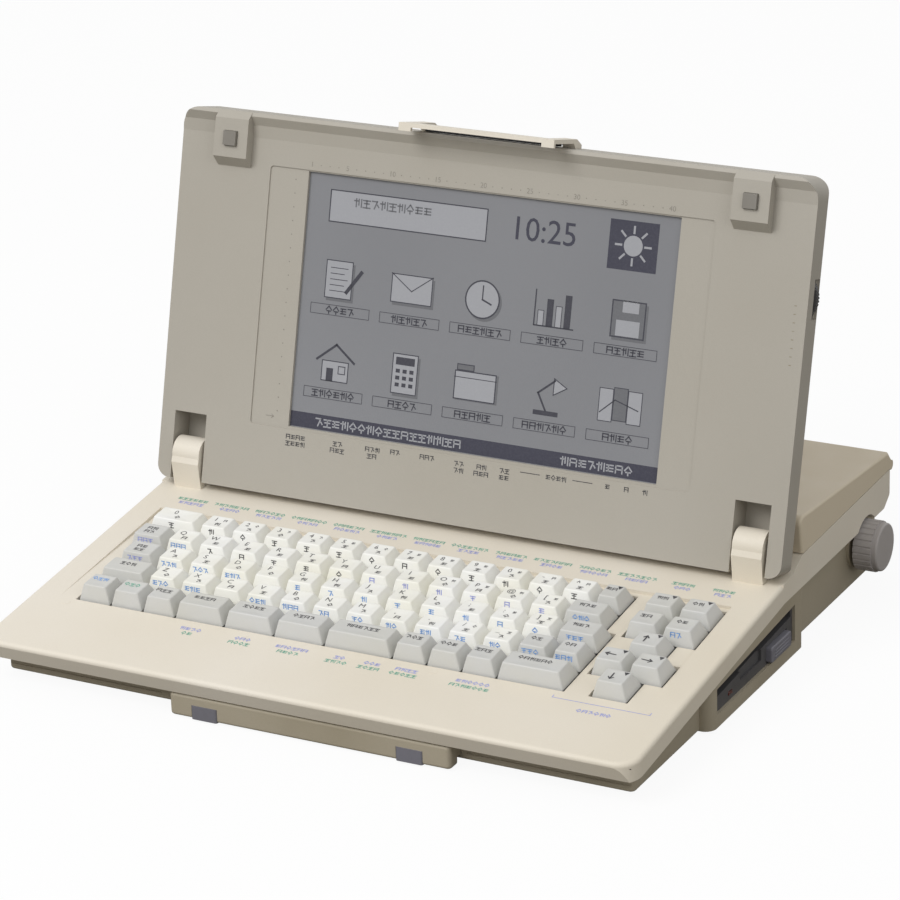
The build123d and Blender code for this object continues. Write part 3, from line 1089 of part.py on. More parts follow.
# ------------------------------------------------------ hinges of the lid
with BuildPart() as hinge_arms:
    for x in ARMS:
        barrel_top = HINGE_RISE + ARM_BARREL
        back_top = (HINGE_RUN + ARM_BARREL * math.cos(math.radians(OPEN_ANGLE - 90)),
                    HINGE_RISE - ARM_BARREL * math.sin(math.radians(OPEN_ANGLE - 90)))
        with BuildSketch(DECK_SIDE.offset(x)):
            with BuildLine():
                Polyline((HINGE_RUN - ARM_FRONT, 0), (HINGE_RUN - ARM_FRONT, ARM_FRONT_HEIGHT),
                         (HINGE_RUN - ARM_BARREL * 0.62, HINGE_RISE + ARM_BARREL * 0.78),
                         (HINGE_RUN, HINGE_RISE), back_top, (HINGE_RUN + ARM_BACK, 0), close=True)
            make_face()
            with Locations((HINGE_RUN, HINGE_RISE)):
                Circle(ARM_BARREL)
        extrude(amount=ARM_WIDTH / 2, both=True)
        with BuildSketch(DECK):
            with Locations((x, HINGE_RUN - (ARM_FRONT - ARM_BACK) / 2)):
                Rectangle(ARM_WIDTH - 2 * ARM_SHOULDER, ARM_FRONT + ARM_BACK - 2 * ARM_SHOULDER)
        extrude(amount=-ARM_FOOT)
    with BuildSketch(HINGE_AXIS):
        Circle(HINGE_PIN_RADIUS + RUN_GAP)
    extrude(amount=HALF, both=True, mode=Mode.SUBTRACT)
finish(hinge_arms, "hinge_arms")

with BuildPart() as hinge_pins:
    for x in ARMS:
        with BuildSketch(HINGE_AXIS.offset(x)):
            Circle(HINGE_PIN_RADIUS)
        extrude(amount=HINGE_PIN_END - ARM_OFFSET, both=True)
finish(hinge_pins, "hinge_pins")

# ------------------------------------------------------------------ latch
LATCH_TOP = LID_ABOVE_AXIS + LATCH_RISE
LATCH_TIP = LID_FACE + LATCH_REACH
with BuildPart() as latch_bail:
    for x in LATCH_SLOTS:
        with BuildSketch(LID_SIDE.offset(x)):
            with BuildLine():
                Polyline((LATCH_TOP - LATCH_PLATE, LATCH_TIP), (LATCH_TOP, LATCH_TIP),
                         (LATCH_TOP, LATCH_PIVOT_O + 2.4), (LATCH_TOP - 3, LATCH_PIVOT_O - LATCH_BOSS),
                         (LATCH_PIVOT_V, LATCH_PIVOT_O - LATCH_BOSS),
                         (LATCH_PIVOT_V, LATCH_PIVOT_O + LATCH_BOSS),
                         (LID_ABOVE_AXIS, LATCH_PIVOT_O + LATCH_BOSS),
                         (LATCH_TOP - LATCH_PLATE, LATCH_PIVOT_O + LATCH_BOSS + 2), close=True)
            make_face()
            with Locations((LATCH_PIVOT_V, LATCH_PIVOT_O)):
                Circle(LATCH_BOSS)
        extrude(amount=LATCH_ARM / 2, both=True)
    with BuildSketch(LID_UP.offset(LATCH_TOP)):
        with Locations((0, -LATCH_TIP + LATCH_BAR / 2)):
            Rectangle(LATCH_WIDTH, LATCH_BAR)
    extrude(amount=-LATCH_PLATE)
    with BuildSketch(LID_UP.offset(LATCH_TOP - LATCH_PLATE)):
        with Locations(*[(x, -LATCH_TIP + 0.9) for x in LATCH_SLOTS]):
            Rectangle(LATCH_ARM, 1.8)
    extrude(amount=-LATCH_HOOK + LATCH_PLATE)
    with BuildSketch(LATCH_AXIS):
        Circle(LATCH_PIN_RADIUS + RUN_GAP)
    extrude(amount=LATCH_WIDTH, both=True, mode=Mode.SUBTRACT)
finish(latch_bail, "latch_bail")

with BuildPart() as latch_pins:
    for x in LATCH_SLOTS:
        with BuildSketch(LATCH_AXIS.offset(x)):
            Circle(LATCH_PIN_RADIUS)
        extrude(amount=LATCH_ARM / 2 + LATCH_PIN_REACH, both=True)
finish(latch_pins, "latch_pins")

# ---------------------------------------------------------- printer cover
COVER_BASE = LEDGE_FRONT + COVER_GAP
COVER_OUTLINE = [
    (COVER_FRONT + COVER_LEAN, COVER_BASE), (COVER_FRONT, COVER_TOP_FRONT),
    (COVER_TOP_END, COVER_TOP_REAR), (CASE_DEPTH, COVER_PIVOT_HEIGHT + 1), (CASE_DEPTH, COVER_PIVOT_HEIGHT),
    (PIVOT_D, ledge_height(PIVOT_D) + COVER_GAP), (STEP_TOP, COVER_BASE),
]
COVER_HOLLOW = [
    (COVER_FRONT + COVER_LEAN + COVER_WALL, COVER_BASE - 1),
    (COVER_FRONT + COVER_WALL + 0.4, COVER_TOP_FRONT - COVER_WALL - 0.6),
    (COVER_TOP_END - 1.4, COVER_TOP_REAR - COVER_WALL), (PIVOT_D - COVER_PIVOT_INSET - 1, COVER_BASE + 6),
    (PIVOT_D - COVER_PIVOT_INSET - 1, COVER_BASE - 1),
]
with BuildPart() as printer_cover:
    with BuildSketch(CASE_SIDE):
        with BuildLine():
            Polyline(*COVER_OUTLINE, close=True)
        make_face()
    extrude(amount=HALF, both=True)
    fillet(edges().filter_by(Axis.X).group_by(Axis.Z)[-1], COVER_ROUND)
    fillet(faces().sort_by(Axis.X)[0].edges().filter_by(lambda e: (e @ 0.5).Z > LEDGE_REAR + 4), 1.5)
    fillet(faces().sort_by(Axis.X)[-1].edges().filter_by(lambda e: (e @ 0.5).Z > LEDGE_REAR + 4), 1.5)
    with BuildSketch(PIVOT):
        Circle(COVER_PIVOT_INSET)
    extrude(amount=HALF, both=True)
    with BuildSketch(CASE_SIDE):
        with BuildLine():
            Polyline(*COVER_HOLLOW, close=True)
        make_face()
    extrude(amount=HALF - COVER_WALL, both=True, mode=Mode.SUBTRACT)
    for x in KNUCKLES:
        with BuildSketch(PIVOT.offset(x)):
            Circle(COVER_PIVOT_INSET + REST_GAP)
            with Locations((0, -COVER_PIVOT_INSET)):
                Rectangle(2 * (COVER_PIVOT_INSET + REST_GAP), 2 * COVER_PIVOT_INSET)
        extrude(amount=KNUCKLE_WIDTH / 2 + REST_GAP, both=True, mode=Mode.SUBTRACT)
        with BuildSketch(PIVOT.offset(x)):
            Circle(COVER_PIN_RADIUS + RUN_GAP)
        extrude(amount=COVER_PIN_LENGTH / 2 + 0.5, both=True, mode=Mode.SUBTRACT)
finish(printer_cover, "printer_cover")

with BuildPart() as cover_hinge_pins:
    for x in KNUCKLES:
        with BuildSketch(PIVOT.offset(x)):
            Circle(COVER_PIN_RADIUS)
        extrude(amount=COVER_PIN_LENGTH / 2, both=True)
finish(cover_hinge_pins, "cover_hinge_pins")

# ---------------------------------------------------------- printer works
GEAR_X = -FRAME_HALF - FRAME_PLATE - 1.2
MOTOR_X = GEAR_X - GEAR_WIDTH - 1.0
BODY_INSIDE = BODY_HALF - BODY_WALL
PINCH = (PINCH_D - PLATEN_Y, PINCH_H - PLATEN_HEIGHT)
ROD_PLACE = (ROD_Y - PLATEN_Y, ROD_HEIGHT - PLATEN_HEIGHT)
MOTOR_PLACE = (MOTOR_D - PLATEN_Y, MOTOR_H - PLATEN_HEIGHT)


def cylinder_along(start, end, radius, place=(0, 0), bore=0.0):
    """A bar along the platen's direction, between two distances from the case centre."""
    with BuildPart() as bar:
        with BuildSketch(KNOB_AXIS.offset(start)):
            with Locations(place):
                Circle(radius)
                if bore > 0:
                    Circle(bore, mode=Mode.SUBTRACT)
        extrude(amount=end - start)
    return bar


def toothed_wheel(start, teeth, turn, place, bore):
    """A spur gear across the platen's direction, with a tooth centred at the angle turn."""
    pitch_radius = GEAR_MODULE * teeth / 2
    flank = math.tan(math.radians(20))
    half = 0.21 * math.pi * GEAR_MODULE
    low, high = 1.1 * GEAR_MODULE, 0.8 * GEAR_MODULE
    with BuildPart() as wheel:
        with BuildSketch(KNOB_AXIS.offset(start)):
            with Locations(place):
                Circle(pitch_radius - GEAR_MODULE)
                with PolarLocations(pitch_radius, teeth, start_angle=turn):
                    Polygon((-low, -half - low * flank), (high, -half + high * flank),
                            (high, half - high * flank), (-low, half + low * flank), align=None)
                if bore > 0:
                    Circle(bore, mode=Mode.SUBTRACT)
        extrude(amount=-GEAR_WIDTH)
    return wheel


finish(cylinder_along(-PLATEN_LENGTH / 2, PLATEN_LENGTH / 2, PLATEN_RADIUS, bore=PLATEN_SHAFT + RUN_GAP),
       "platen_roller")
finish(cylinder_along(MOTOR_X + 0.6, HALF + KNOB_OUT - 5, PLATEN_SHAFT), "platen_shaft")
finish(toothed_wheel(GEAR_X, PLATEN_TEETH, 0, (0, 0), PLATEN_SHAFT + RUN_GAP), "platen_gear")
finish(cylinder_along(-BODY_INSIDE, MOTOR_X, MOTOR_RADIUS, MOTOR_PLACE, MOTOR_SHAFT + RUN_GAP), "feed_motor")

with BuildPart() as motor_pinion:
    add(toothed_wheel(GEAR_X, PINION_TEETH, math.degrees(MOTOR_ANGLE) + 180 + 180 / PINION_TEETH,
                      MOTOR_PLACE, 0).part)
    add(cylinder_along(MOTOR_X - 6, GEAR_X - 1, MOTOR_SHAFT, MOTOR_PLACE).part)
finish(motor_pinion, "motor_pinion")

with BuildPart() as platen_knob:
    with BuildSketch(KNOB_AXIS.offset(HALF - KNOB_INNER_GAP)):
        Circle(KNOB_RADIUS)
        with PolarLocations(KNOB_RADIUS + 0.2, KNOB_FLUTES):
            Circle(KNOB_FLUTE_RADIUS, mode=Mode.SUBTRACT)
    extrude(amount=KNOB_OUT + KNOB_INNER_GAP - KNOB_RIM)
    with BuildSketch(KNOB_AXIS.offset(HALF + KNOB_OUT - KNOB_RIM)):
        Circle(KNOB_RADIUS - 0.8)
    extrude(amount=KNOB_RIM)
    fillet(faces().sort_by(Axis.X)[-1].edges(), 1.2)
    with BuildSketch(KNOB_AXIS.offset(HALF - 2 * KNOB_INNER_GAP)):
        Circle(PLATEN_SHAFT + RUN_GAP)
    extrude(amount=KNOB_OUT + 2 * KNOB_INNER_GAP - 5, mode=Mode.SUBTRACT)
finish(platen_knob, "platen_knob")

with BuildPart() as pinch_rollers:
    add(cylinder_along(-FRAME_HALF - FRAME_PLATE, FRAME_HALF + FRAME_PLATE, PINCH_SHAFT, PINCH).part)
    for x in PINCH_PLACES:
        add(cylinder_along(x - PINCH_LENGTH / 2, x + PINCH_LENGTH / 2, PINCH_RADIUS, PINCH).part)
finish(pinch_rollers, "pinch_rollers")

finish(cylinder_along(-FRAME_HALF - FRAME_PLATE, FRAME_HALF + FRAME_PLATE, ROD_RADIUS, ROD_PLACE),
       "guide_rod")

BASE_TOP = FRAME_BASE + FRAME_PLATE
with BuildPart() as printer_frame:
    for side in (-1, 1):
        with BuildSketch(CASE_SIDE.offset(side * FRAME_HALF)):
            with BuildLine():
                Polyline((FRAME_FRONT, FRAME_BASE), (FRAME_FRONT, FRAME_TOP - 8),
                         (FRAME_FRONT + 12, FRAME_TOP),
                         (FRAME_REAR, FRAME_TOP), (FRAME_REAR, FRAME_BASE), close=True)
            make_face()
        extrude(amount=side * FRAME_PLATE)
    with BuildSketch(case_plan(FRAME_BASE)):
        with Locations((0, (FRAME_FRONT + BASE_REAR) / 2)):
            Rectangle(2 * FRAME_HALF, BASE_REAR - FRAME_FRONT)
    extrude(amount=FRAME_PLATE)
    with BuildSketch(case_plan(FRAME_BASE)):
        with Locations((0, FRAME_FRONT + FRAME_PLATE / 2)):
            Rectangle(2 * FRAME_HALF, FRAME_PLATE)
    extrude(amount=RAIL_TOP - FRAME_BASE)
    with BuildSketch(KNOB_AXIS.offset(-FRAME_HALF - 2 * FRAME_PLATE)):
        Circle(PLATEN_SHAFT + RUN_GAP)
        with Locations(ROD_PLACE):
            Circle(ROD_RADIUS + RUN_GAP)
        with Locations(PINCH):
            Circle(PINCH_SHAFT + RUN_GAP)
    extrude(amount=2 * FRAME_HALF + 4 * FRAME_PLATE, mode=Mode.SUBTRACT)
    with BuildSketch(case_plan(FRAME_BASE)):
        with Locations((PULLEY_OFFSET, BELT_Y)):
            Circle(PULLEY_PIN + 1.6)
    extrude(amount=BELT_HEIGHT - BELT_WIDTH / 2 - REST_GAP - FRAME_BASE)
    with BuildSketch(case_plan(FRAME_BASE)):
        with Locations((PULLEY_OFFSET, BELT_Y)):
            Circle(PULLEY_PIN)
    extrude(amount=BELT_HEIGHT + BELT_WIDTH - FRAME_BASE)
finish(printer_frame, "printer_frame")

with BuildPart() as paper_guide:
    with BuildSketch(KNOB_AXIS.offset(-FRAME_HALF)):
        Circle(GUIDE_RADIUS + GUIDE_THICKNESS)
        Circle(GUIDE_RADIUS, mode=Mode.SUBTRACT)
        with BuildLine():
            Polyline((0, 0), (-3 * GUIDE_RADIUS, -1.1 * GUIDE_RADIUS), (-3 * GUIDE_RADIUS, 3 * GUIDE_RADIUS),
                     (3 * GUIDE_RADIUS, 3 * GUIDE_RADIUS),
                     (3 * GUIDE_RADIUS, -1.1 * GUIDE_RADIUS), close=True)
        make_face(mode=Mode.SUBTRACT)
    extrude(amount=2 * FRAME_HALF)
    for x in PINCH_PLACES:
        with BuildSketch(KNOB_AXIS.offset(x)):
            with Locations(PINCH):
                Circle(PINCH_RADIUS + 2 * REST_GAP)
        extrude(amount=PINCH_LENGTH / 2 + 2 * REST_GAP, both=True, mode=Mode.SUBTRACT)
finish(paper_guide, "paper_guide")

with BuildPart() as carriage_belt:
    with BuildSketch(case_plan(BELT_HEIGHT - BELT_WIDTH / 2)):
        with Locations((0, BELT_Y)):
            SlotCenterToCenter(2 * PULLEY_OFFSET, 2 * (PULLEY_RADIUS + BELT_THICKNESS))
            SlotCenterToCenter(2 * PULLEY_OFFSET, 2 * PULLEY_RADIUS, mode=Mode.SUBTRACT)
    extrude(amount=BELT_WIDTH)
finish(carriage_belt, "carriage_belt")

for name, x, reach in (("drive_pulley", -PULLEY_OFFSET, CARRIAGE_MOTOR_TOP - 6),
                       ("idler_pulley", PULLEY_OFFSET, 0)):
    with BuildPart() as pulley:
        with BuildSketch(case_plan(BELT_HEIGHT - BELT_WIDTH / 2)):
            with Locations((x, BELT_Y)):
                Circle(PULLEY_RADIUS - REST_GAP)
                if not reach:
                    Circle(PULLEY_PIN + RUN_GAP, mode=Mode.SUBTRACT)
        extrude(amount=BELT_WIDTH)
        if reach:
            with BuildSketch(case_plan(reach)):
                with Locations((x, BELT_Y)):
                    Circle(PULLEY_PIN)
            extrude(amount=BELT_HEIGHT - reach)
        with BuildSketch(case_plan(BELT_HEIGHT + BELT_WIDTH / 2)):
            with Locations((x, BELT_Y)):
                Rectangle(1.6, 6)
                if not reach:
                    Circle(PULLEY_PIN + RUN_GAP, mode=Mode.SUBTRACT)
        extrude(amount=0.8)
    finish(pulley, name)

with BuildPart() as carriage_motor:
    with BuildSketch(case_plan(BASE_TOP)):
        with Locations((-PULLEY_OFFSET, BELT_Y)):
            RectangleRounded(2 * CARRIAGE_MOTOR_HALF, 2 * CARRIAGE_MOTOR_HALF - 6.4, 2)
    extrude(amount=CARRIAGE_MOTOR_TOP - BASE_TOP)
    with BuildSketch(case_plan(CARRIAGE_MOTOR_TOP - 7)):
        with Locations((-PULLEY_OFFSET, BELT_Y)):
            Circle(PULLEY_PIN + RUN_GAP)
    extrude(amount=8, mode=Mode.SUBTRACT)
finish(carriage_motor, "carriage_motor")

CARRIAGE_TOP = RAIL_TOP + REST_GAP
with BuildPart() as print_carriage:
    with BuildSketch(CASE_SIDE.offset(CARRIAGE_HOME)):
        with BuildLine():
            Polyline((ROD_Y - 7, 16), (ROD_Y + 10, 16), (ROD_Y + 10, 30), (ROD_Y + 14, CARRIAGE_TOP),
                     (ROD_Y + 14, CARRIAGE_TOP + CARRIAGE_PLATE),
                     (FRAME_FRONT - 2, CARRIAGE_TOP + CARRIAGE_PLATE),
                     (FRAME_FRONT - 2, CARRIAGE_TOP), (ROD_Y - 7, CARRIAGE_TOP), close=True)
        make_face()
        with Locations((ROD_Y, ROD_HEIGHT)):
            Circle(ROD_RADIUS + RUN_GAP, mode=Mode.SUBTRACT)
    extrude(amount=CARRIAGE_WIDTH / 2, both=True)
    with BuildSketch(CASE_SIDE.offset(CARRIAGE_HOME)):
        with Locations((ROD_Y - 9, BELT_HEIGHT)):
            Rectangle(6, BELT_WIDTH + 6)
        with Locations((BELT_Y + PULLEY_RADIUS, BELT_HEIGHT)):
            Rectangle(2 * (BELT_THICKNESS + REST_GAP), BELT_WIDTH + 2 * REST_GAP, mode=Mode.SUBTRACT)
    extrude(amount=6, both=True)
finish(print_carriage, "print_carriage")

with BuildPart() as thermal_head:
    with BuildSketch(CASE_SIDE.offset(CARRIAGE_HOME)):
        with BuildLine():
            Polyline((ROD_Y + 10, 20), (PLATEN_Y - PLATEN_RADIUS - 4, 21.6),
                     (PLATEN_Y - PLATEN_RADIUS - REST_GAP, 23),
                     (PLATEN_Y - PLATEN_RADIUS - REST_GAP, 28), (PLATEN_Y - PLATEN_RADIUS - 4, 29.4),
                     (ROD_Y + 10, 29.8), close=True)
        make_face()
    extrude(amount=HEAD_WIDTH / 2, both=True)
finish(thermal_head, "thermal_head")

with BuildPart() as ribbon_cassette:
    with BuildSketch(case_plan(CARRIAGE_TOP + CARRIAGE_PLATE)):
        with Locations((CARRIAGE_HOME, CASSETTE_D)):
            RectangleRounded(CASSETTE_WIDTH, CASSETTE_DEPTH, 4)
        with Locations((CARRIAGE_HOME, CASSETTE_D + CASSETTE_DEPTH / 2)):
            Rectangle(HEAD_WIDTH + 8, 12, mode=Mode.SUBTRACT)
    extrude(amount=CASSETTE_THICKNESS)
    with BuildSketch(case_plan(CARRIAGE_TOP + CARRIAGE_PLATE + CASSETTE_THICKNESS - 2)):
        with Locations((CARRIAGE_HOME - 16, CASSETTE_D), (CARRIAGE_HOME + 16, CASSETTE_D)):
            Circle(5)
    extrude(amount=4, mode=Mode.SUBTRACT)
finish(ribbon_cassette, "ribbon_cassette")
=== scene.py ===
"""Looks of a portable electronic word processor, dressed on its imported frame.

Sizes in the classes are millimetres, in the frame of the part, and MM turns them into metres.
"""
import json
import logging
import math
import random
from collections.abc import Callable, Iterator
from contextlib import contextmanager
from dataclasses import dataclass, field
from enum import Enum

import bmesh
import bpy
from mathutils import Matrix, Vector


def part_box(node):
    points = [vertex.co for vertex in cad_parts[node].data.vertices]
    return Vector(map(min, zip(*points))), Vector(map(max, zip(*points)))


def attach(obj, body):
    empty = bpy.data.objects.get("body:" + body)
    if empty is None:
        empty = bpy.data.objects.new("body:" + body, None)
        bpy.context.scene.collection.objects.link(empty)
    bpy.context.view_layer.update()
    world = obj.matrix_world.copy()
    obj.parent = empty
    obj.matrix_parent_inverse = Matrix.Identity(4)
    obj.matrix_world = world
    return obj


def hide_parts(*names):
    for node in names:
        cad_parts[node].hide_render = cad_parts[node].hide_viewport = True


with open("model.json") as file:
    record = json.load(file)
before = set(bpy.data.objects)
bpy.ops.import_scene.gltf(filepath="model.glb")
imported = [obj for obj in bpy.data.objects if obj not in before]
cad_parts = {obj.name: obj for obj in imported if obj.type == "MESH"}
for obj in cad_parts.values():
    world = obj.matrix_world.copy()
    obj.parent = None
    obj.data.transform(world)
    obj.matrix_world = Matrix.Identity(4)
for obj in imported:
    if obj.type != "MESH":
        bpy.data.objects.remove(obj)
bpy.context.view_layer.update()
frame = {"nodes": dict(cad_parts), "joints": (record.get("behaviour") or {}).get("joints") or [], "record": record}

log = logging.getLogger("word_processor")
MM = 0.001
MIX_FIRST, MIX_SECOND, MIX_RESULT = 6, 7, 2    # a Mix node's sockets for colours
CAPITAL_SHARE = 0.7    # a capital's height as a share of the font's size
Triple = tuple[float, float, float]
Colour = Triple
Pair = tuple[float, float]
Piece = bpy.types.Object
Material = bpy.types.Material
Socket = bpy.types.NodeSocket


class Ink(Enum):
    """Inks of the printed marks, as display colours."""

    BLACK = (58, 57, 60)
    BLUE = (104, 154, 220)
    GREEN = (96, 170, 146)
    LAVENDER = (150, 158, 222)
    TAUPE = (138, 133, 124)
    BROWN = (146, 138, 120)


class Tone(Enum):
    """Greys that the display shows, as display colours."""

    PALE = (160, 161, 166)
    FAINT = (108, 109, 113)
    LINE = (68, 68, 76)
    DARK = (66, 66, 78)


class Hue(Enum):
    """The two colours that the keys are moulded in."""

    WHITE = "key_white"
    GREY = "key_grey"


class Arrow(Enum):
    """Directions of the cursor keys, as degrees from the right."""

    RIGHT = 0
    UP = 90
    LEFT = 180
    DOWN = 270


class Part(Enum):
    """Parts of a mesh that can be picked, by Blender's own names."""

    FACE = "FACE"
    EDGE = "EDGE"


# ------------------------------------------------------------------ finishes
def linear(colour: Colour) -> tuple[float, float, float, float]:
    """Turn an 8-bit display colour into linear light.

    Args:
        colour: Red, green and blue from 0 to 255.

    Returns:
        The linear colour with an alpha of 1.
    """
    shares = [part / 255 for part in colour]
    return (*(s / 12.92 if s <= 0.04045 else ((s + 0.055) / 1.055) ** 2.4 for s in shares), 1.0)


class Shader:
    """A material's node tree, with short calls that add and join its nodes."""

    def __init__(self, name: str) -> None:
        """Start a material with a Principled shader and its Object coordinates.

        Args:
            name: Name of the material.
        """
        self.material = bpy.data.materials.new(name)
        self.material.use_nodes = True
        self.tree = self.material.node_tree
        self.body = self.tree.nodes["Principled BSDF"]
        self.place = self.add("TexCoord").outputs["Object"]

    def add(self, kind: str) -> bpy.types.Node:
        """Add a shader node of a kind."""
        return self.tree.nodes.new(f"ShaderNode{kind}")

    def join(self, source: Socket, target: Socket) -> None:
        """Link two sockets."""
        self.tree.links.new(source, target)

    def paint(self, tint: Socket) -> None:
        """Give the surface its colour."""
        self.join(tint, self.body.inputs["Base Color"])

    def level(self, name: str, value: float) -> None:
        """Set one of the surface's levels."""
        self.body.inputs[name].default_value = value

    def stretch(self, scale: Triple) -> Socket:
        """Stretch the Object coordinates.

        Args:
            scale: Factor for each axis.

        Returns:
            The stretched coordinates.
        """
        node = self.add("Mapping")
        node.inputs["Scale"].default_value = scale
        self.join(self.place, node.inputs["Vector"])
        return node.outputs["Vector"]

    def noise(self, scale: float, detail: float = 2.0, place: Socket | None = None) -> Socket:
        """Add a noise pattern.

        Args:
            scale: Features per metre.
            detail: Octaves.
            place: Coordinates, by default the object's own.

        Returns:
            The noise's value.
        """
        node = self.add("TexNoise")
        node.inputs["Scale"].default_value = scale
        node.inputs["Detail"].default_value = detail
        self.join(place or self.place, node.inputs["Vector"])
        return node.outputs["Fac"]

    def spread(self, value: Socket, start: float, end: float,
               low: float = 0.3, high: float = 0.7) -> Socket:
        """Map a value from one range to another.

        Args:
            value: What is mapped.
            start: Result at the low level and under it.
            end: Result at the high level and over it.
            low: Low level of the value.
            high: High level of the value.

        Returns:
            The mapped value.
        """
        node = self.add("MapRange")
        for name, level in (("From Min", low), ("From Max", high), ("To Min", start), ("To Max", end)):
            node.inputs[name].default_value = level
        self.join(value, node.inputs["Value"])
        return node.outputs["Result"]

    def blend(self, share: Socket, first: Colour | Socket, second: Colour) -> Socket:
        """Mix two colours by a share.

        Args:
            share: Share of the second colour.
            first: Display colour or a colour socket.
            second: Display colour.

        Returns:
            The mixed colour.
        """
        node = self.add("Mix")
        node.data_type = "RGBA"
        self.join(share, node.inputs["Factor"])
        if isinstance(first, tuple):
            node.inputs[MIX_FIRST].default_value = linear(first)
        else:
            self.join(first, node.inputs[MIX_FIRST])
        node.inputs[MIX_SECOND].default_value = linear(second)
        return node.outputs[MIX_RESULT]

    def relief(self, height: Socket, depth: float, strength: float = 1.0) -> None:
        """Raise the surface by a height pattern.

        Args:
            height: The pattern.
            depth: Height of the pattern's peaks in millimetres.
            strength: Share of the effect.
        """
        node = self.add("Bump")
        node.inputs["Strength"].default_value = strength
        node.inputs["Distance"].default_value = depth * MM
        self.join(height, node.inputs["Height"])
        self.join(node.outputs["Normal"], self.body.inputs["Normal"])

    def gloss(self, roughness: float, swing: float, scale: float) -> None:
        """Let the roughness swing about its value in patches of a scale."""
        self.join(self.spread(self.noise(scale), roughness - swing, roughness + swing),
                  self.body.inputs["Roughness"])


@dataclass(frozen=True)
class MouldedPlastic:
    """Finely grained plastic that has aged unevenly."""

    name: str
    colour: Colour
    aged: Colour
    roughness: float = 0.5
    grain: float = 1500.0
    grain_depth: float = 0.05
    patch: float = 11.0
    speck_scale: float = 1.7
    speck_share: float = 0.16
    speck_tone: float = 0.9
    gloss_swing: float = 0.06
    gloss_patch: float = 70.0
    specular: float = 0.35

    def material(self) -> Material:
        """Make the material: aged patches, fine specks, grain and uneven gloss.

        Returns:
            The material.
        """
        shader = Shader(self.name)
        patches = self.spread_patches(shader)
        specks = shader.noise(self.grain * self.speck_scale, 1.0)
        speck = shader.spread(specks, 0.0, self.speck_share, 0.35, 0.75)
        shader.paint(shader.blend(speck, patches, tuple(self.speck_tone * part for part in self.aged)))
        shader.relief(shader.noise(self.grain, 2.0), self.grain_depth, 0.5)
        shader.gloss(self.roughness, self.gloss_swing, self.gloss_patch)
        shader.level("Specular IOR Level", self.specular)
        return shader.material

    def spread_patches(self, shader: Shader) -> Socket:
        """Return the colour mixed with its aged tone in large soft patches."""
        share = shader.spread(shader.noise(self.patch, 3.0), 0.0, 1.0, 0.32, 0.75)
        return shader.blend(share, self.colour, self.aged)


@dataclass(frozen=True)
class BareMetal:
    """Steel or aluminium with the fine lines of rolling or turning."""

    name: str
    colour: Colour
    roughness: float = 0.32
    along: Triple = (8.0, 900.0, 900.0)

    def material(self) -> Material:
        """Make the material: stretched lines in its colour, gloss and relief.

        Returns:
            The material.
        """
        shader = Shader(self.name)
        lines = shader.noise(1.0, 2.0, shader.stretch(self.along))
        tint = shader.blend(shader.spread(lines, 0.0, 0.6), self.colour,
                            tuple(0.8 * part for part in self.colour))
        shader.paint(tint)
        shader.level("Metallic", 1.0)
        shader.join(shader.spread(lines, self.roughness - 0.06, self.roughness + 0.1),
                    shader.body.inputs["Roughness"])
        shader.relief(lines, 0.01, 0.4)
        return shader.material


@dataclass(frozen=True)
class Rubber:
    """Dull rubber with dust in its pores."""

    name: str
    colour: Colour
    dust: Colour

    def material(self) -> Material:
        """Make the material: dust by fine noise over a rough, soft surface.

        Returns:
            The material.
        """
        shader = Shader(self.name)
        dust = shader.spread(shader.noise(420.0, 4.0), 0.0, 0.5, 0.45, 0.75)
        shader.paint(shader.blend(dust, self.colour, self.dust))
        shader.relief(shader.noise(1900.0, 2.0), 0.06, 0.5)
        shader.gloss(0.82, 0.08, 200.0)
        shader.level("Specular IOR Level", 0.2)
        return shader.material


@dataclass(frozen=True)
class SolderMask:
    """A circuit board's lacquer with the copper tracks showing through."""

    name: str
    colour: Colour
    track: Colour

    def material(self) -> Material:
        """Make the material: bands of tracks under a glossy lacquer.

        Returns:
            The material.
        """
        shader = Shader(self.name)
        bands = shader.add("TexBrick")
        bands.inputs["Scale"].default_value = 90.0
        bands.inputs["Mortar Size"].default_value = 0.06
        bands.inputs["Color1"].default_value = linear(self.colour)
        bands.inputs["Color2"].default_value = linear(tuple(0.86 * part for part in self.colour))
        bands.inputs["Mortar"].default_value = linear(self.track)
        shader.join(shader.place, bands.inputs["Vector"])
        shader.paint(bands.outputs["Color"])
        shader.relief(bands.outputs["Fac"], -0.03, 0.6)
        shader.gloss(0.3, 0.08, 60.0)
        return shader.material


@dataclass(frozen=True)
class ScreenFilm:
    """The display's matt front film, with painted light and shade clouding across it."""

    name: str
    colour: Colour
    # Darker tone: the colour of the fine cells, and also the painted shade of the slow clouding.
    edge: Colour

    def material(self) -> Material:
        """Make the material: slow clouding of painted light and shade, very fine cells and a satin gloss.

        Returns:
            The material.
        """
        shader = Shader(self.name)
        # Painted light and shade: slow noise makes the film lighter in some parts and darker in others.
        painted_shade = shader.spread(shader.noise(5.0, 1.0), 0.0, 1.0, 0.35, 0.7)
        cells = shader.spread(shader.noise(2600.0, 0.0), 0.0, 0.22)
        tint = shader.blend(cells, shader.blend(painted_shade, self.colour, self.edge), self.edge)
        shader.paint(tint)
        shader.relief(shader.noise(3200.0, 1.0), 0.01, 0.3)
        shader.gloss(0.38, 0.05, 12.0)
        shader.level("Specular IOR Level", 0.3)
        return shader.material


@dataclass(frozen=True)
class PrintedInk:
    """A thin printed ink, worn in places."""

    name: str
    colour: Colour
    wear: float = 0.35
    roughness: float = 0.5

    def material(self) -> Material:
        """Make the material: the ink pales where fine noise has worn it.

        Returns:
            The material.
        """
        shader = Shader(self.name)
        pale = tuple(part + (205 - part) * self.wear for part in self.colour)
        worn = shader.spread(shader.noise(900.0, 3.0), 0.0, 1.0, 0.4, 0.8)
        shader.paint(shader.blend(worn, self.colour, pale))
        shader.gloss(self.roughness, 0.06, 300.0)
        shader.level("Specular IOR Level", 0.25)
        return shader.material


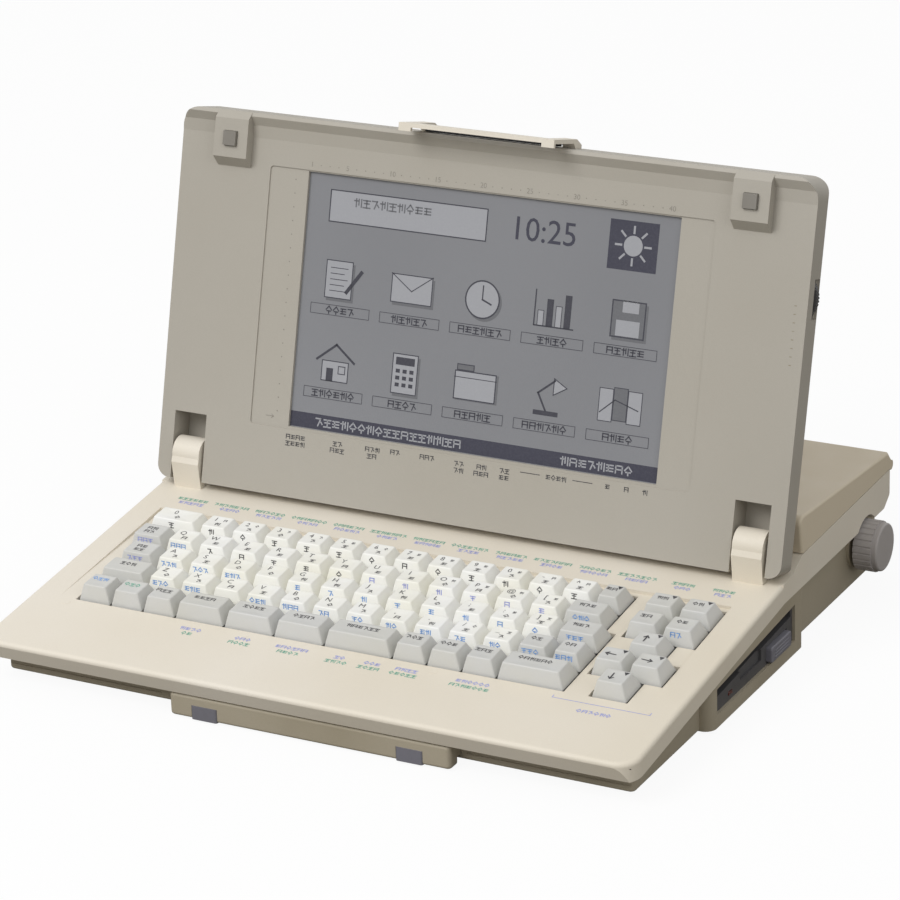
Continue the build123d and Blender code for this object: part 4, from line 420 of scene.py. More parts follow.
@dataclass(frozen=True)
class LampLens:
    """The drive lamp's unlit coloured lens."""

    name: str
    colour: Colour
    glow: Colour

    def material(self) -> Material:
        """Make the material: a clear-coated lens with a lighter heart.

        Returns:
            The material.
        """
        shader = Shader(self.name)
        heart = shader.spread(shader.noise(300.0, 1.0), 0.0, 0.8)
        shader.paint(shader.blend(heart, self.colour, self.glow))
        shader.gloss(0.14, 0.04, 200.0)
        shader.level("Coat Weight", 0.6)
        return shader.material


@dataclass
class Palette:
    """Every finish of the object, made once."""

    made: dict[str, Material] = field(default_factory=dict)
    finishes: tuple = (
        MouldedPlastic("case_cream", (228, 221, 208), (220, 211, 193), 0.5, patch=7.0),
        MouldedPlastic("case_taupe", (176, 167, 148), (158, 148, 127), 0.55),
        MouldedPlastic("lid_taupe", (176, 171, 161), (168, 162, 150), 0.52, patch=6.0),
        MouldedPlastic("key_white", (242, 242, 240), (239, 237, 225), 0.42, 2200.0, 0.03, 34.0),
        MouldedPlastic("key_grey", (206, 206, 204), (203, 202, 195), 0.42, 2200.0, 0.03, 34.0),
        MouldedPlastic("pad_grey", (122, 121, 130), (113, 112, 118), 0.45, 1500.0, 0.03, 60.0),
        MouldedPlastic("cover_cream", (218, 206, 184), (207, 194, 170), 0.52, patch=7.0),
        MouldedPlastic("stud_grey", (134, 130, 123), (126, 121, 113), 0.45, 1500.0, 0.03, 60.0),
        MouldedPlastic("dark_plastic", (86, 85, 86), (76, 75, 76), 0.42, 1500.0, 0.04, 40.0),
        MouldedPlastic("knob_grey", (178, 173, 171), (168, 163, 160), 0.48, 1500.0, 0.04, 40.0),
        MouldedPlastic("black_plastic", (46, 45, 47), (56, 54, 54), 0.4, 1500.0, 0.04, 40.0),
        BareMetal("panel_metal", (196, 198, 202), 0.36, (900.0, 8.0, 900.0)),
        BareMetal("steel", (188, 190, 193)),
        Rubber("rubber_dark", (40, 40, 42), (74, 73, 72)),
        Rubber("rubber_light", (196, 195, 190), (170, 168, 160)),
        SolderMask("board_green", (38, 92, 58), (74, 132, 84)),
        ScreenFilm("lcd_grey", (136, 137, 141), (126, 127, 131)),
        LampLens("lamp_lens", (64, 22, 22), (96, 34, 30)),
    )

    def __post_init__(self) -> None:
        """Make the materials of the finishes, the inks and the display's tones."""
        inks = [PrintedInk(f"ink_{ink.name.lower()}", ink.value) for ink in Ink]
        tones = [PrintedInk(f"tone_{tone.name.lower()}", tone.value, 0.06, 0.38) for tone in Tone]
        for finish in (*self.finishes, *inks, *tones):
            self.made[finish.name] = finish.material()

    def of(self, choice: str | Ink | Tone | Hue) -> Material:
        """Return a material.

        Args:
            choice: A slot's name, an ink, a tone or a key colour.

        Returns:
            The material.
        """
        if isinstance(choice, Ink):
            return self.made[f"ink_{choice.name.lower()}"]
        if isinstance(choice, Tone):
            return self.made[f"tone_{choice.name.lower()}"]
        return self.made[choice.value if isinstance(choice, Hue) else choice]


# --------------------------------------------------------------- the bench
def clear_selection() -> None:
    """Deselect every object."""
    for piece in bpy.context.selected_objects:
        piece.select_set(False)


def take(*pieces: Piece) -> None:
    """Select only these objects, the first one active."""
    clear_selection()
    for piece in pieces:
        piece.select_set(True)
    bpy.context.view_layer.objects.active = pieces[0]


@contextmanager
def editing(piece: Piece) -> Iterator[None]:
    """Open a piece in edit mode for a block of shaping steps.

    Args:
        piece: The piece.
    """
    take(piece)
    bpy.ops.object.mode_set(mode="EDIT")
    try:
        yield
    finally:
        bpy.ops.object.mode_set(mode="OBJECT")


def pick(kind: Part, test: Callable[[bmesh.types.BMFace | bmesh.types.BMEdge], bool]) -> None:
    """Select the faces or the edges of the edited mesh that pass a test.

    Args:
        kind: What is picked.
        test: Says whether one is wanted.
    """
    bpy.ops.mesh.select_mode(type=kind.value)
    bpy.ops.mesh.select_all(action="DESELECT")
    mesh = bpy.context.edit_object.data
    shape = bmesh.from_edit_mesh(mesh)
    for part in shape.faces if kind is Part.FACE else shape.edges:
        if test(part):
            part.select_set(True)
    bmesh.update_edit_mesh(mesh)


def round_edges(piece: Piece, radius: float, test: Callable[[bmesh.types.BMEdge], bool]) -> None:
    """Bevel the edges of a piece that pass a test.

    Args:
        piece: The piece.
        radius: Width of the bevel in millimetres.
        test: Says whether an edge is wanted.
    """
    with editing(piece):
        pick(Part.EDGE, test)
        bpy.ops.mesh.bevel(offset=radius * MM, segments=2)


def settle(piece: Piece) -> Piece:
    """Put a piece's place and turn into its mesh.

    Args:
        piece: The piece.

    Returns:
        The same piece.
    """
    take(piece)
    bpy.ops.object.transform_apply(location=True, rotation=True, scale=True)
    return piece


def finish_with(piece: Piece, material: Material) -> Piece:
    """Give a piece one material.

    Args:
        piece: The piece.
        material: Its finish.

    Returns:
        The same piece.
    """
    piece.data.materials.clear()
    piece.data.materials.append(material)
    return piece


def copy_at(model: Piece, place: Matrix) -> Piece:
    """Copy a model with its own mesh to a place.

    Args:
        model: Piece that was modelled at its own origin.
        place: Where the copy goes.

    Returns:
        The copy.
    """
    copy = model.copy()
    copy.data = model.data.copy()
    bpy.context.scene.collection.objects.link(copy)
    copy.matrix_world = place
    return copy


def gather(name: str, pieces: list[Piece]) -> Piece:
    """Join pieces into one with its place in its mesh.

    Args:
        name: Name of the joined piece.
        pieces: Pieces to join.

    Returns:
        The joined piece.
    """
    bpy.context.view_layer.update()
    take(*pieces)
    if len(pieces) > 1:
        bpy.ops.object.join()
    pieces[0].name = name
    return settle(pieces[0])


def discard(*pieces: Piece) -> None:
    """Remove models that were only copied."""
    for piece in pieces:
        bpy.data.objects.remove(piece)


def apply_modifier(piece: Piece, kind: str, **settings: object) -> None:
    """Add a modifier and apply it.

    Args:
        piece: The piece.
        kind: Blender's name for the kind of modifier.
        **settings: Values of its settings by name.
    """
    modifier = piece.modifiers.new(kind.lower(), kind)
    for setting, value in settings.items():
        setattr(modifier, setting, value)
    take(piece)
    bpy.ops.object.modifier_apply(modifier=modifier.name)


def block(name: str, low: Triple, high: Triple) -> Piece:
    """Add a block between two corners, in millimetres.

    Args:
        name: Name of the piece.
        low: Lowest corner.
        high: Highest corner.

    Returns:
        The block with its place in its mesh.
    """
    clear_selection()
    centre = [(a + b) / 2 * MM for a, b in zip(low, high)]
    bpy.ops.mesh.primitive_cube_add(size=1, location=centre)
    piece = bpy.context.object
    piece.name = name
    piece.scale = [(b - a) * MM for a, b in zip(low, high)]
    return settle(piece)


def leaf(width: float, height: float) -> Piece:
    """Add a flat rectangle at the origin.

    Args:
        width: Its width in millimetres.
        height: Its height in millimetres.

    Returns:
        The rectangle.
    """
    clear_selection()
    bpy.ops.mesh.primitive_plane_add(size=1)
    piece = bpy.context.object
    piece.scale = (width * MM, height * MM, 1)
    return settle(piece)


def dot(radius: float, corners: int = 20) -> Piece:
    """Add a flat disc at the origin.

    Args:
        radius: Its radius in millimetres.
        corners: How many corners its outline has.

    Returns:
        The disc.
    """
    clear_selection()
    bpy.ops.mesh.primitive_circle_add(vertices=corners, radius=radius * MM, fill_type="NGON")
    return bpy.context.object


def hollow(piece: Piece, line: float) -> Piece:
    """Turn a flat shape into its outline.

    Args:
        piece: The flat shape.
        line: Width of the outline in millimetres.

    Returns:
        The same piece.
    """
    with editing(piece):
        pick(Part.FACE, lambda face: True)
        bpy.ops.mesh.inset(thickness=line * MM)
        bpy.ops.mesh.delete(type="FACE")
    return piece


def lettering(text: str, height: float) -> Piece:
    """Write plain letters or numbers as a flat mesh centred at the origin.

    Args:
        text: What to write.
        height: Height of the capitals in millimetres.

    Returns:
        The letters as a mesh.
    """
    clear_selection()
    bpy.ops.object.text_add()
    words = bpy.context.object
    words.data.body = text
    words.data.size = height / CAPITAL_SHARE * MM
    words.data.align_x = "CENTER"
    words.data.align_y = "CENTER"
    words.data.resolution_u = 3
    take(words)
    bpy.ops.object.convert(target="MESH")
    return settle(bpy.context.object)


def at(x: float, y: float, z: float = 0.0, turn: float = 0.0) -> Matrix:
    """Return a place in millimetres on a plane, turned in it by degrees."""
    return Matrix.Translation(Vector((x, y, z)) * MM) @ Matrix.Rotation(math.radians(turn), 4, "Z")


@dataclass(frozen=True)
class Lay:
    """A tilted plane: x to the right, y up its slope and z outwards."""

    origin: Triple
    tilt: float

    def matrix(self) -> Matrix:
        """Return the plane's place."""
        turn = Matrix.Rotation(math.radians(self.tilt), 4, "X")
        return Matrix.Translation(Vector(self.origin) * MM) @ turn

    def lay(self, piece: Piece) -> Piece:
        """Move a piece that was modelled flat onto the plane, in its mesh."""
        piece.matrix_world = self.matrix()
        return settle(piece)


@dataclass(frozen=True)
class Frame:
    """Planes of the object that its prints and keys lie on."""

    case_x: float = -5.25
    front_y: float = -161.6
    deck_front_height: float = 23.8
    deck_tilt: float = 6.97
    key_first_row: float = 51.1
    recess_slope: float = 1.0427
    lid_lean: float = 75.47

    def deck(self) -> Lay:
        """Return the keyboard deck's plane, from its front edge."""
        return Lay((self.case_x, self.front_y, self.deck_front_height), self.deck_tilt)

    def keys(self) -> Lay:
        """Work out the plane that the keys stand on.

        Returns:
            The plane from the first row's front.
        """
        tilt = math.radians(self.deck_tilt)
        origin = (self.case_x, self.front_y + self.key_first_row * math.cos(tilt),
                  self.deck_front_height + self.key_first_row * math.sin(tilt))
        return Lay(origin, self.deck_tilt - self.recess_slope)

    def lid(self) -> Lay:
        """Return the plane of the lid through its hinge axis."""
        hinge = next(j for j in frame["joints"] if j["name"] == "lid_hinge")["pos_m"]
        return Lay((self.case_x, hinge[1] / MM, hinge[2] / MM), self.lid_lean)


# ------------------------------------------------------------- printed marks
@dataclass
class SignWriter:
    """Writes labels of meaningless signs: short strokes in square cells."""

    palette: Palette
    stroke: float = 0.15
    spacing: float = 1.02
    seed: int = 7
    signs: tuple = (
        ((0.1, 0.82, 0.9, 0.82), (0.22, 0.52, 0.78, 0.52), (0.5, 0.82, 0.5, 0.08), (0.1, 0.08, 0.9, 0.08)),
        ((0.14, 0.86, 0.14, 0.12), (0.86, 0.86, 0.86, 0.12), (0.14, 0.86, 0.86, 0.86),
         (0.14, 0.48, 0.86, 0.48)),
        ((0.08, 0.7, 0.5, 0.7), (0.3, 0.9, 0.3, 0.1), (0.6, 0.88, 0.6, 0.3), (0.9, 0.88, 0.9, 0.1)),
        ((0.15, 0.8, 0.85, 0.8), (0.15, 0.5, 0.85, 0.5), (0.15, 0.2, 0.85, 0.2), (0.36, 0.8, 0.36, 0.2)),
        ((0.5, 0.94, 0.12, 0.5), (0.5, 0.94, 0.88, 0.5), (0.25, 0.34, 0.75, 0.34), (0.5, 0.34, 0.5, 0.05)),
        ((0.15, 0.85, 0.7, 0.85), (0.7, 0.85, 0.4, 0.1), (0.75, 0.5, 0.9, 0.3)),
    )
    models: list[Piece] = field(default_factory=list)

    def __post_init__(self) -> None:
        """Model each sign once, a millimetre high."""
        self.chance = random.Random(self.seed)
        for number, strokes in enumerate(self.signs):
            lines = [self.line(*ends, self.stroke) for ends in strokes]
            self.models.append(gather(f"sign_model_{number}", lines))

    @staticmethod
    def line(x1: float, y1: float, x2: float, y2: float, width: float) -> Piece:
        """Add a straight stroke.

        Args:
            x1: Where it begins, to the right.
            y1: Where it begins, upwards.
            x2: Where it ends, to the right.
            y2: Where it ends, upwards.
            width: Its width in millimetres.

        Returns:
            The stroke.
        """
        length = math.hypot(x2 - x1, y2 - y1)
        piece = leaf(length + width, width)
        turn = math.degrees(math.atan2(y2 - y1, x2 - x1))
        piece.matrix_world = at((x1 + x2) / 2, (y1 + y2) / 2, 0, turn)
        return settle(piece)

    def label(self, x: float, y: float, count: int, height: float, ink: Ink | Tone,
              lift: float = 0.0) -> list[Piece]:
        """Write a label.

        Args:
            x: Middle of the label.
            y: Its lower edge.
            count: How many signs it has.
            height: Height of a sign.
            ink: What it is printed in.
            lift: Height above the plane.

        Returns:
            The signs, one piece each.
        """
        signs = []
        for number in range(count):
            left = x + (number - count / 2) * height * self.spacing
            place = at(left, y, lift) @ Matrix.Diagonal((height, height, 1, 1))
            sign = copy_at(self.chance.choice(self.models), place)
            signs.append(finish_with(sign, self.palette.of(ink)))
        return signs

    def inked(self, mark: Piece, place: Matrix, ink: Ink | Tone) -> Piece:
        """Put a flat mark at a place, in its mesh, and ink it."""
        mark.matrix_world = place
        return finish_with(settle(mark), self.palette.of(ink))

    def close(self) -> None:
        """Put the models away."""
        discard(*self.models)


# --------------------------------------------------------------- the keys
@dataclass(frozen=True)
class Key:
    """One key: its middle and width in millimetres, its colour and what is on it."""

    x: float
    y: float
    width: float
    hue: Hue
    letter: str = ""
    sign: bool = False
    shifted: bool = False
    top_label: int = 0
    top_lines: int = 1
    top_ink: Ink = Ink.BLACK
    front_label: int = 0
    front_ink: Ink = Ink.BLUE
    arrow: Arrow | None = None
    corner: bool = False


@dataclass
class KeySet:
    """The keyboard's caps with their legends."""

    palette: Palette
    writer: SignWriter
    plane: Lay
    pitch: float = 19.05
    gap: float = 0.9
    left: float = -154.0
    height: float = 8.0
    skirt: float = 0.8
    top_side: float = 2.6
    top_front: float = 1.8
    top_back: float = 4.4
    corner_round: float = 1.5
    rim_round: float = 0.55
    dish: tuple = ((0.86, 0.1), (0.78, 0.16), (0.66, 0.14), (0.4, 0.08))
    wall: float = 0.9
    stem: float = 5.0
    stem_end: float = 6.2
    smooth_angle: float = 38.0
    cluster_x: float = 144.05
    row_names: tuple[str, ...] = ("function_row", "lower_row", "home_row", "upper_row", "number_row")
    row_widths: tuple = (
        (1, 1, 1, 1.5, 1.5, 1.5, 2, 1, 1, 1, 1.9),
        (1.5, *[1] * 12, 0.9),
        (1.15, *[1] * 12, 1.25),
        (1.11, *[1] * 12, 1.25),
        (1.56, *[1] * 12, 0.8),
    )
    row_starts: tuple[float, ...] = (0, 0, 0, -0.26, -0.26)
    row_letters: tuple[str, ...] = ("", "ZXCVBNM,./_", "ASDFGHJKL;:]", "QWERTYUIOP@[", "1234567890-^")
    space_number: int = 6
    label_share: float = 6.4
    letter_at: Pair = (-2.6, 2.4)
    letter_size: float = 3.2
    sign_at: Pair = (0.4, -3.6)
    sign_size: float = 3.3
    shifted_at: Pair = (3.0, 1.2)
    shifted_size: float = 2.3
    label_at: Pair = (-1.0, 0.6)
    label_size: float = 3.0
    line_step: float = 3.6
    corner_at: Pair = (-1.9, 4.1)
    corner_size: float = 1.8
    arrow_at: Pair = (-1.6, 0.4)
    arrow_line: float = 0.7
    arrow_strokes: tuple = ((-2.6, 0, 2.6, 0), (2.6, 0, 1.1, 1.3), (2.6, 0, 1.1, -1.3))
    front_at: Pair = (-0.8, 4.3)
    front_sizes: Pair = (3.4, 3.1)
    ink_lift: float = 0.05
    models: dict[float, Piece] = field(default_factory=dict)

    def build(self) -> None:
        """Model all the caps and print their legends."""
        for row, name in enumerate(self.row_names):
            keys = self.row_keys(row)
            if row == 0:
                self.make_keys("space", "space_key", [keys.pop(self.space_number)])
            self.make_keys(name, f"{name}_keys", keys)
        for name, key in self.cluster_keys().items():
            self.make_keys(name, f"key_{name}", [key])
        discard(*self.models.values())

    def row_keys(self, row: int) -> list[Key]:
        """Lay out a row of the main block.

        Args:
            row: Its number from the front.

        Returns:
            The keys from left to right.
        """
        keys, edge = [], self.left + self.row_starts[row] * self.pitch
        letters = self.row_letters[row]
        for number, share in enumerate(self.row_widths[row]):
            width = share * self.pitch
            place = (edge + width / 2, (row + 0.5) * self.pitch, width)
            edge += width
            keys.append(self.main_key(row, number, place, letters))
        return keys

    def main_key(self, row: int, number: int, place: Triple, letters: str) -> Key:
        """Describe one key of the main block.

        Args:
            row: Its row from the front.
            number: Its number from the left.
            place: Its middle and its width.
            letters: Letters of the row's white keys.

        Returns:
            The key.
        """
        if row == 0:
            ink = (Ink.BLUE, Ink.GREEN)[number] if number < 2 else Ink.BLACK
            return Key(*place, Hue.GREY, top_label=max(2, round(place[2] / self.label_share)), top_ink=ink)
        if 1 <= number <= len(letters):
            count, ink = self.front_of(row, number)
            return Key(*place, Hue.WHITE, letters[number - 1], True, row == 4 or number > 8 + row % 3,
                       front_label=count, front_ink=ink)
        if row == 4 and number == 0:
            return Key(*place, Hue.WHITE, "0", True, front_label=1, front_ink=Ink.BLACK)
        first = number == 0 and row > 1
        return Key(*place, Hue.GREY, top_label=2 if place[2] < 22 else 3, top_lines=2 if first else 1,
                   front_label=0 if row == 4 or (row, number) == (1, 0) else 3,
                   front_ink=Ink.LAVENDER if first else Ink.BLUE, corner=row == 4)

    @staticmethod
    def front_of(row: int, number: int) -> tuple[int, Ink]:
        """Say what a white key has on its front wall.

        Args:
            row: Its row from the front.
            number: Its number from the left.

        Returns:
            How many signs, and their ink.
        """
        if row == 4:
            return 1, Ink.BLACK
        if row == 3:
            return (3, Ink.BLUE) if number == 1 else (1, Ink.BLACK if number < 7 else Ink.LAVENDER)
        if row == 2:
            return (3, Ink.BLUE) if number < 4 else (0 if number == 4 else 1, Ink.BLUE)
        return (0 if number == 3 else 2 + (number < 6), Ink.BLUE)

    def cluster_keys(self) -> dict[str, Key]:
        """Lay out the cursor and function keys at the right.

        Returns:
            The keys by the names of their bodies.
        """
        plan = {
            "cursor_down": (0, 0, Arrow.DOWN), "cursor_left": (-0.5, 1, Arrow.LEFT),
            "cursor_right": (0.5, 1, Arrow.RIGHT), "cursor_up": (0, 2, Arrow.UP),
            "print": (-0.5, 3, None), "menu": (0.5, 3, None),
            "insert": (-0.5, 4, None), "delete": (0.5, 4, None),
        }
        keys = {}
        for name, (column, row, arrow) in plan.items():
            place = (self.cluster_x + column * self.pitch, (row + 0.5) * self.pitch, self.pitch)
            keys[name] = Key(*place, Hue.GREY, arrow=arrow, top_label=0 if arrow else 2,
                             corner=arrow is not None or row == 4, front_label=2 if name == "menu" else 0)
        return keys

    def cap(self, width: float) -> Piece:
        """Model a cap of a width once: tapered, rounded and dished, with its stem.

        Args:
            width: Width of its cell.

        Returns:
            The model, at the origin of the key plane.
        """
        if width in self.models:
            return self.models[width]
        half, depth = (width - self.gap) / 2, (self.pitch - self.gap) / 2
        cap = block("cap_model", (-half, -depth, -self.skirt), (half, depth, self.height))
        top_half = half - self.top_side
        top_depth = depth - (self.top_front + self.top_back) / 2
        shift = (self.top_front - self.top_back) / 2
        with editing(cap):
            pick(Part.FACE, lambda face: face.normal.z > 0.9)
            bpy.ops.transform.resize(value=(top_half / half, top_depth / depth, 1))
            bpy.ops.transform.translate(value=(0, shift * MM, 0))
            pick(Part.FACE, lambda face: face.normal.z < -0.9)
            bpy.ops.mesh.inset(thickness=self.wall * MM)
            shares = (self.stem / 2 / (half - self.wall), self.stem / 2 / (depth - self.wall), 1)
            bpy.ops.transform.resize(value=shares, center_override=(0, 0, -self.skirt * MM))
            bpy.ops.mesh.extrude_region_move(
                TRANSFORM_OT_translate={"value": (0, 0, (self.skirt - self.stem_end) * MM)})
            rising = self.height * MM * 0.5
            pick(Part.EDGE, lambda edge: abs(edge.verts[0].co.z - edge.verts[1].co.z) > rising)
            bpy.ops.mesh.bevel(offset=self.corner_round * MM, segments=4, offset_type="WIDTH")
            top = (self.height - 0.01) * MM
            pick(Part.EDGE, lambda edge: all(vertex.co.z > top for vertex in edge.verts))
            bpy.ops.mesh.bevel(offset=self.rim_round * MM, segments=3)
            pick(Part.FACE, lambda face: face.normal.z > 0.99 and face.calc_center_median().z > top)
            for share, sink in self.dish:
                bpy.ops.mesh.extrude_region_move()
                bpy.ops.transform.resize(value=(share, share, 1), center_override=(0, shift * MM, 0))
                bpy.ops.transform.translate(value=(0, 0, -sink * MM))
        bpy.ops.object.shade_smooth_by_angle(angle=math.radians(self.smooth_angle))
        self.models[width] = cap
        return cap

    def make_keys(self, body: str, node: str, keys: list[Key]) -> None:
        """Make the caps and legends of one moving body.

        Args:
            body: Body that they ride.
            node: Plain node that the caps stand for.
            keys: The keys.
        """
        caps = []
        for key in keys:
            cap = copy_at(self.cap(key.width), at(key.x, key.y))
            caps.append(finish_with(cap, self.palette.of(key.hue)))
        caps_piece = gather(f"{body}_caps", caps)
        tops = [mark for key in keys for mark in self.top_marks(key)]
        legends = [gather(f"{body}_legends", tops)] if tops else []
        for legend in legends:
            apply_modifier(legend, "SHRINKWRAP", target=caps_piece, wrap_method="PROJECT",
                           use_project_z=True, use_negative_direction=True,
                           use_positive_direction=False, offset=self.ink_lift * MM)
        fronts = [mark for key in keys for mark in self.front_marks(key)]
        if fronts:
            legends.append(gather(f"{body}_front_legends", fronts))
        for piece in (caps_piece, *legends):
            self.plane.lay(piece)
            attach(piece, body)
        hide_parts(node)
        log.info("%s: %d caps", node, len(keys))

    def top_marks(self, key: Key) -> list[Piece]:
        """Print what is on a cap's top, a little above it.

        Args:
            key: The key.

        Returns:
            The marks.
        """
        lift = self.height + 1
        middle = key.y + (self.top_front - self.top_back) / 2
        marks = []
        if key.letter:
            x, y = self.letter_at
            letter = lettering(key.letter, self.letter_size)
            marks.append(self.writer.inked(letter, at(key.x + x, middle + y, lift), Ink.BLACK))
        for wanted, (x, y), size in ((key.sign, self.sign_at, self.sign_size),
                                     (key.shifted, self.shifted_at, self.shifted_size)):
            if wanted:
                marks += self.writer.label(key.x + x, middle + y, 1, size, Ink.BLACK, lift)
        x, y = self.label_at
        for line in range(key.top_lines):
            height = middle + y - self.line_step * line
            marks += self.writer.label(key.x + x, height, key.top_label, self.label_size, key.top_ink, lift)
        if key.arrow is not None:
            x, y = self.arrow_at
            place = at(key.x + x, middle + y, lift, key.arrow.value)
            marks += [self.writer.inked(self.writer.line(*ends, self.arrow_line), place, Ink.BLACK)
                      for ends in self.arrow_strokes]
        if key.corner:
            x, y = self.corner_at
            edge = key.width / 2 - self.gap / 2 - self.top_side
            spot = dot(self.corner_size, 3)
            marks.append(self.writer.inked(spot, at(key.x + edge + x, middle + y, lift, 180), Ink.BLACK))
        return marks

    def front_marks(self, key: Key) -> list[Piece]:
        """Print the label on a cap's front wall.

        Args:
            key: The key.

        Returns:
            The marks.
        """
        if not key.front_label:
            return []
        rise, run = self.height + self.skirt, self.top_front
        foot = key.y - (self.pitch - self.gap) / 2
        wall = Matrix.Translation(Vector((key.x, foot, -self.skirt)) * MM)
        wall = wall @ Matrix.Rotation(math.atan2(rise, run), 4, "X")
        height = self.front_sizes[0 if key.front_label == 1 else 1]
        marks = self.writer.label(*self.front_at, key.front_label, height, key.front_ink, self.ink_lift)
        bpy.context.view_layer.update()
        for mark in marks:
            mark.matrix_world = wall @ mark.matrix_world
        return marks


# ------------------------------------------------------- prints on the case
@dataclass
class DeckPrint:
    """Coloured labels behind and in front of the keys."""

    writer: SignWriter
    plane: Lay
    lift: float = 0.06
    rear_upper: float = 161.2
    rear_lower: float = 157.3
    front_upper: float = 41.6
    front_lower: float = 37.4
    sign: float = 3.0
    first: float = -152.0
    last: float = 108.0
    groups: int = 12
    cluster: Pair = (133.0, 155.0)
    under_keys: tuple = ((-82, 4, 2), (-52, 3, 4), (-24, 6, 4), (3, 2, 4), (21, 3, 4), (40, 4, 5), (76, 6, 7))
    under_cursor: tuple = (143, 35.5, 6)
    bracket: tuple = ((118, 44, 169, 44), (118, 44, 118, 46), (169, 44, 169, 46))
    bracket_line: float = 0.35
    marks: list[Piece] = field(default_factory=list)

    def label(self, x: float, y: float, count: int, ink: Ink) -> None:
        """Print a label on the deck."""
        self.marks += self.writer.label(x, y, count, self.sign, ink, self.lift)

    def build(self) -> None:
        """Print the labels and the bracket under the cursor keys."""
        step = (self.last - self.first) / (self.groups - 1)
        rear = [(self.first + number * step, 6 + number % 2, 5 - number % 2) for number in range(self.groups)]
        for x, upper, lower in (*rear, *((x, 4, 3) for x in self.cluster)):
            self.label(x, self.rear_upper, upper, Ink.GREEN)
            self.label(x + 1, self.rear_lower, lower, Ink.LAVENDER)
        for x, upper, lower in self.under_keys:
            self.label(x, self.front_upper, upper, Ink.LAVENDER)
            self.label(x, self.front_lower, lower, Ink.GREEN)
        self.label(*self.under_cursor, Ink.LAVENDER)
        for ends in self.bracket:
            line = self.writer.line(*ends, self.bracket_line)
            self.marks.append(self.writer.inked(line, at(0, 0, self.lift), Ink.LAVENDER))
        piece = self.plane.lay(gather("deck_labels", self.marks))
        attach(piece, "case")
        log.info("deck_labels: %d marks", len(self.marks))


@dataclass
class LidPrint:
    """Column numbers, dots and labels round the display."""

    writer: SignWriter
    plane: Lay
    face: float = 6.1
    pocket: float = 5.4
    lift: float = 0.06
    first_column: float = -101.2
    column_step: float = 5.267
    columns: int = 40
    column_height: float = 161.0
    row_x: float = -110.6
    row_top: float = 152.2
    row_step: float = 7.18
    rows: int = 18
    row_arrow: tuple = ((-117, 27, -112.5, 27), (-112.5, 27, -113.8, 28), (-112.5, 27, -113.8, 26))
    row_arrow_line: float = 0.35
    number_size: float = 2.7
    column_dot: float = 0.34
    row_dot: float = 0.4
    dot_corners: int = 8
    label_base: float = 14.4
    label_size: float = 2.9
    two_lines: tuple = ((-98, 4, 4), (-72.7, 2, 3), (-52, 3, 2), (-1.2, 2, 2), (11.8, 2, 3), (25, 2, 2))
    one_line: tuple = ((-38.6, 2), (-19.8, 3), (54.2, 4), (83.1, 1), (93.6, 1), (103.9, 1))
    dashes: Pair = (39.4, 69.1)
    dash: tuple = (-5.4, 0, 5.4, 0, 0.4)
    dash_height: float = 18.6
    tick_x: float = 174.2
    tick_low: float = 92
    tick_step: float = 4.2
    tick_size: Pair = (1.3, 0.5)
    ticks: int = 8

    def build(self) -> None:
        """Print the scale over the display, the dots at its left and the labels below."""
        marks = self.scale() + self.row_dots() + self.labels() + self.wheel_ticks()
        piece = self.plane.lay(gather("lid_print", marks))
        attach(piece, "lid")
        log.info("lid_print: %d marks", len(marks))

    def dress(self, mark: Piece, x: float, v: float, level: float, ink: Ink = Ink.TAUPE) -> Piece:
        """Set a flat mark on a face of the lid and ink it."""
        return self.writer.inked(mark, at(x, v, level + self.lift), ink)

    def scale(self) -> list[Piece]:
        """Print the column numbers with a dot for each column between them.

        Returns:
            The marks.
        """
        marks = []
        for column in range(1, self.columns + 1):
            x = self.first_column + (column - 1) * self.column_step
            if column == 1 or column % 5 == 0:
                mark = lettering(str(column), self.number_size)
            else:
                mark = dot(self.column_dot, self.dot_corners)
            marks.append(self.dress(mark, x, self.column_height, self.face))
        return marks

    def row_dots(self) -> list[Piece]:
        """Print a dot for each line of text at the display's left, and an arrow.

        Returns:
            The marks.
        """
        dots = [self.dress(dot(self.row_dot, self.dot_corners), self.row_x,
                           self.row_top - row * self.row_step, self.pocket) for row in range(self.rows)]
        return dots + [self.dress(self.writer.line(*ends, self.row_arrow_line), 0, 0, self.pocket)
                       for ends in self.row_arrow]

    def labels(self) -> list[Piece]:
        """Print the dark labels below the display, some in two lines, and two dashes.

        Returns:
            The marks.
        """
        marks, level, size = [], self.face + self.lift, self.label_size
        for x, upper, lower in self.two_lines:
            marks += self.writer.label(x, self.label_base + 1.9, upper, size, Ink.BLACK, level)
            marks += self.writer.label(x, self.label_base - 1.6, lower, size, Ink.BLACK, level)
        for x, count in self.one_line:
            marks += self.writer.label(x, self.label_base + 2.4, count, size, Ink.BLACK, level)
        return marks + [self.dress(self.writer.line(*self.dash), x, self.dash_height, self.face, Ink.BLACK)
                        for x in self.dashes]

    def wheel_ticks(self) -> list[Piece]:
        """Print the small ticks beside the contrast wheel."""
        return [self.dress(leaf(*self.tick_size), self.tick_x, self.tick_low + self.tick_step * number,
                           self.face, Ink.BROWN) for number in range(self.ticks)]


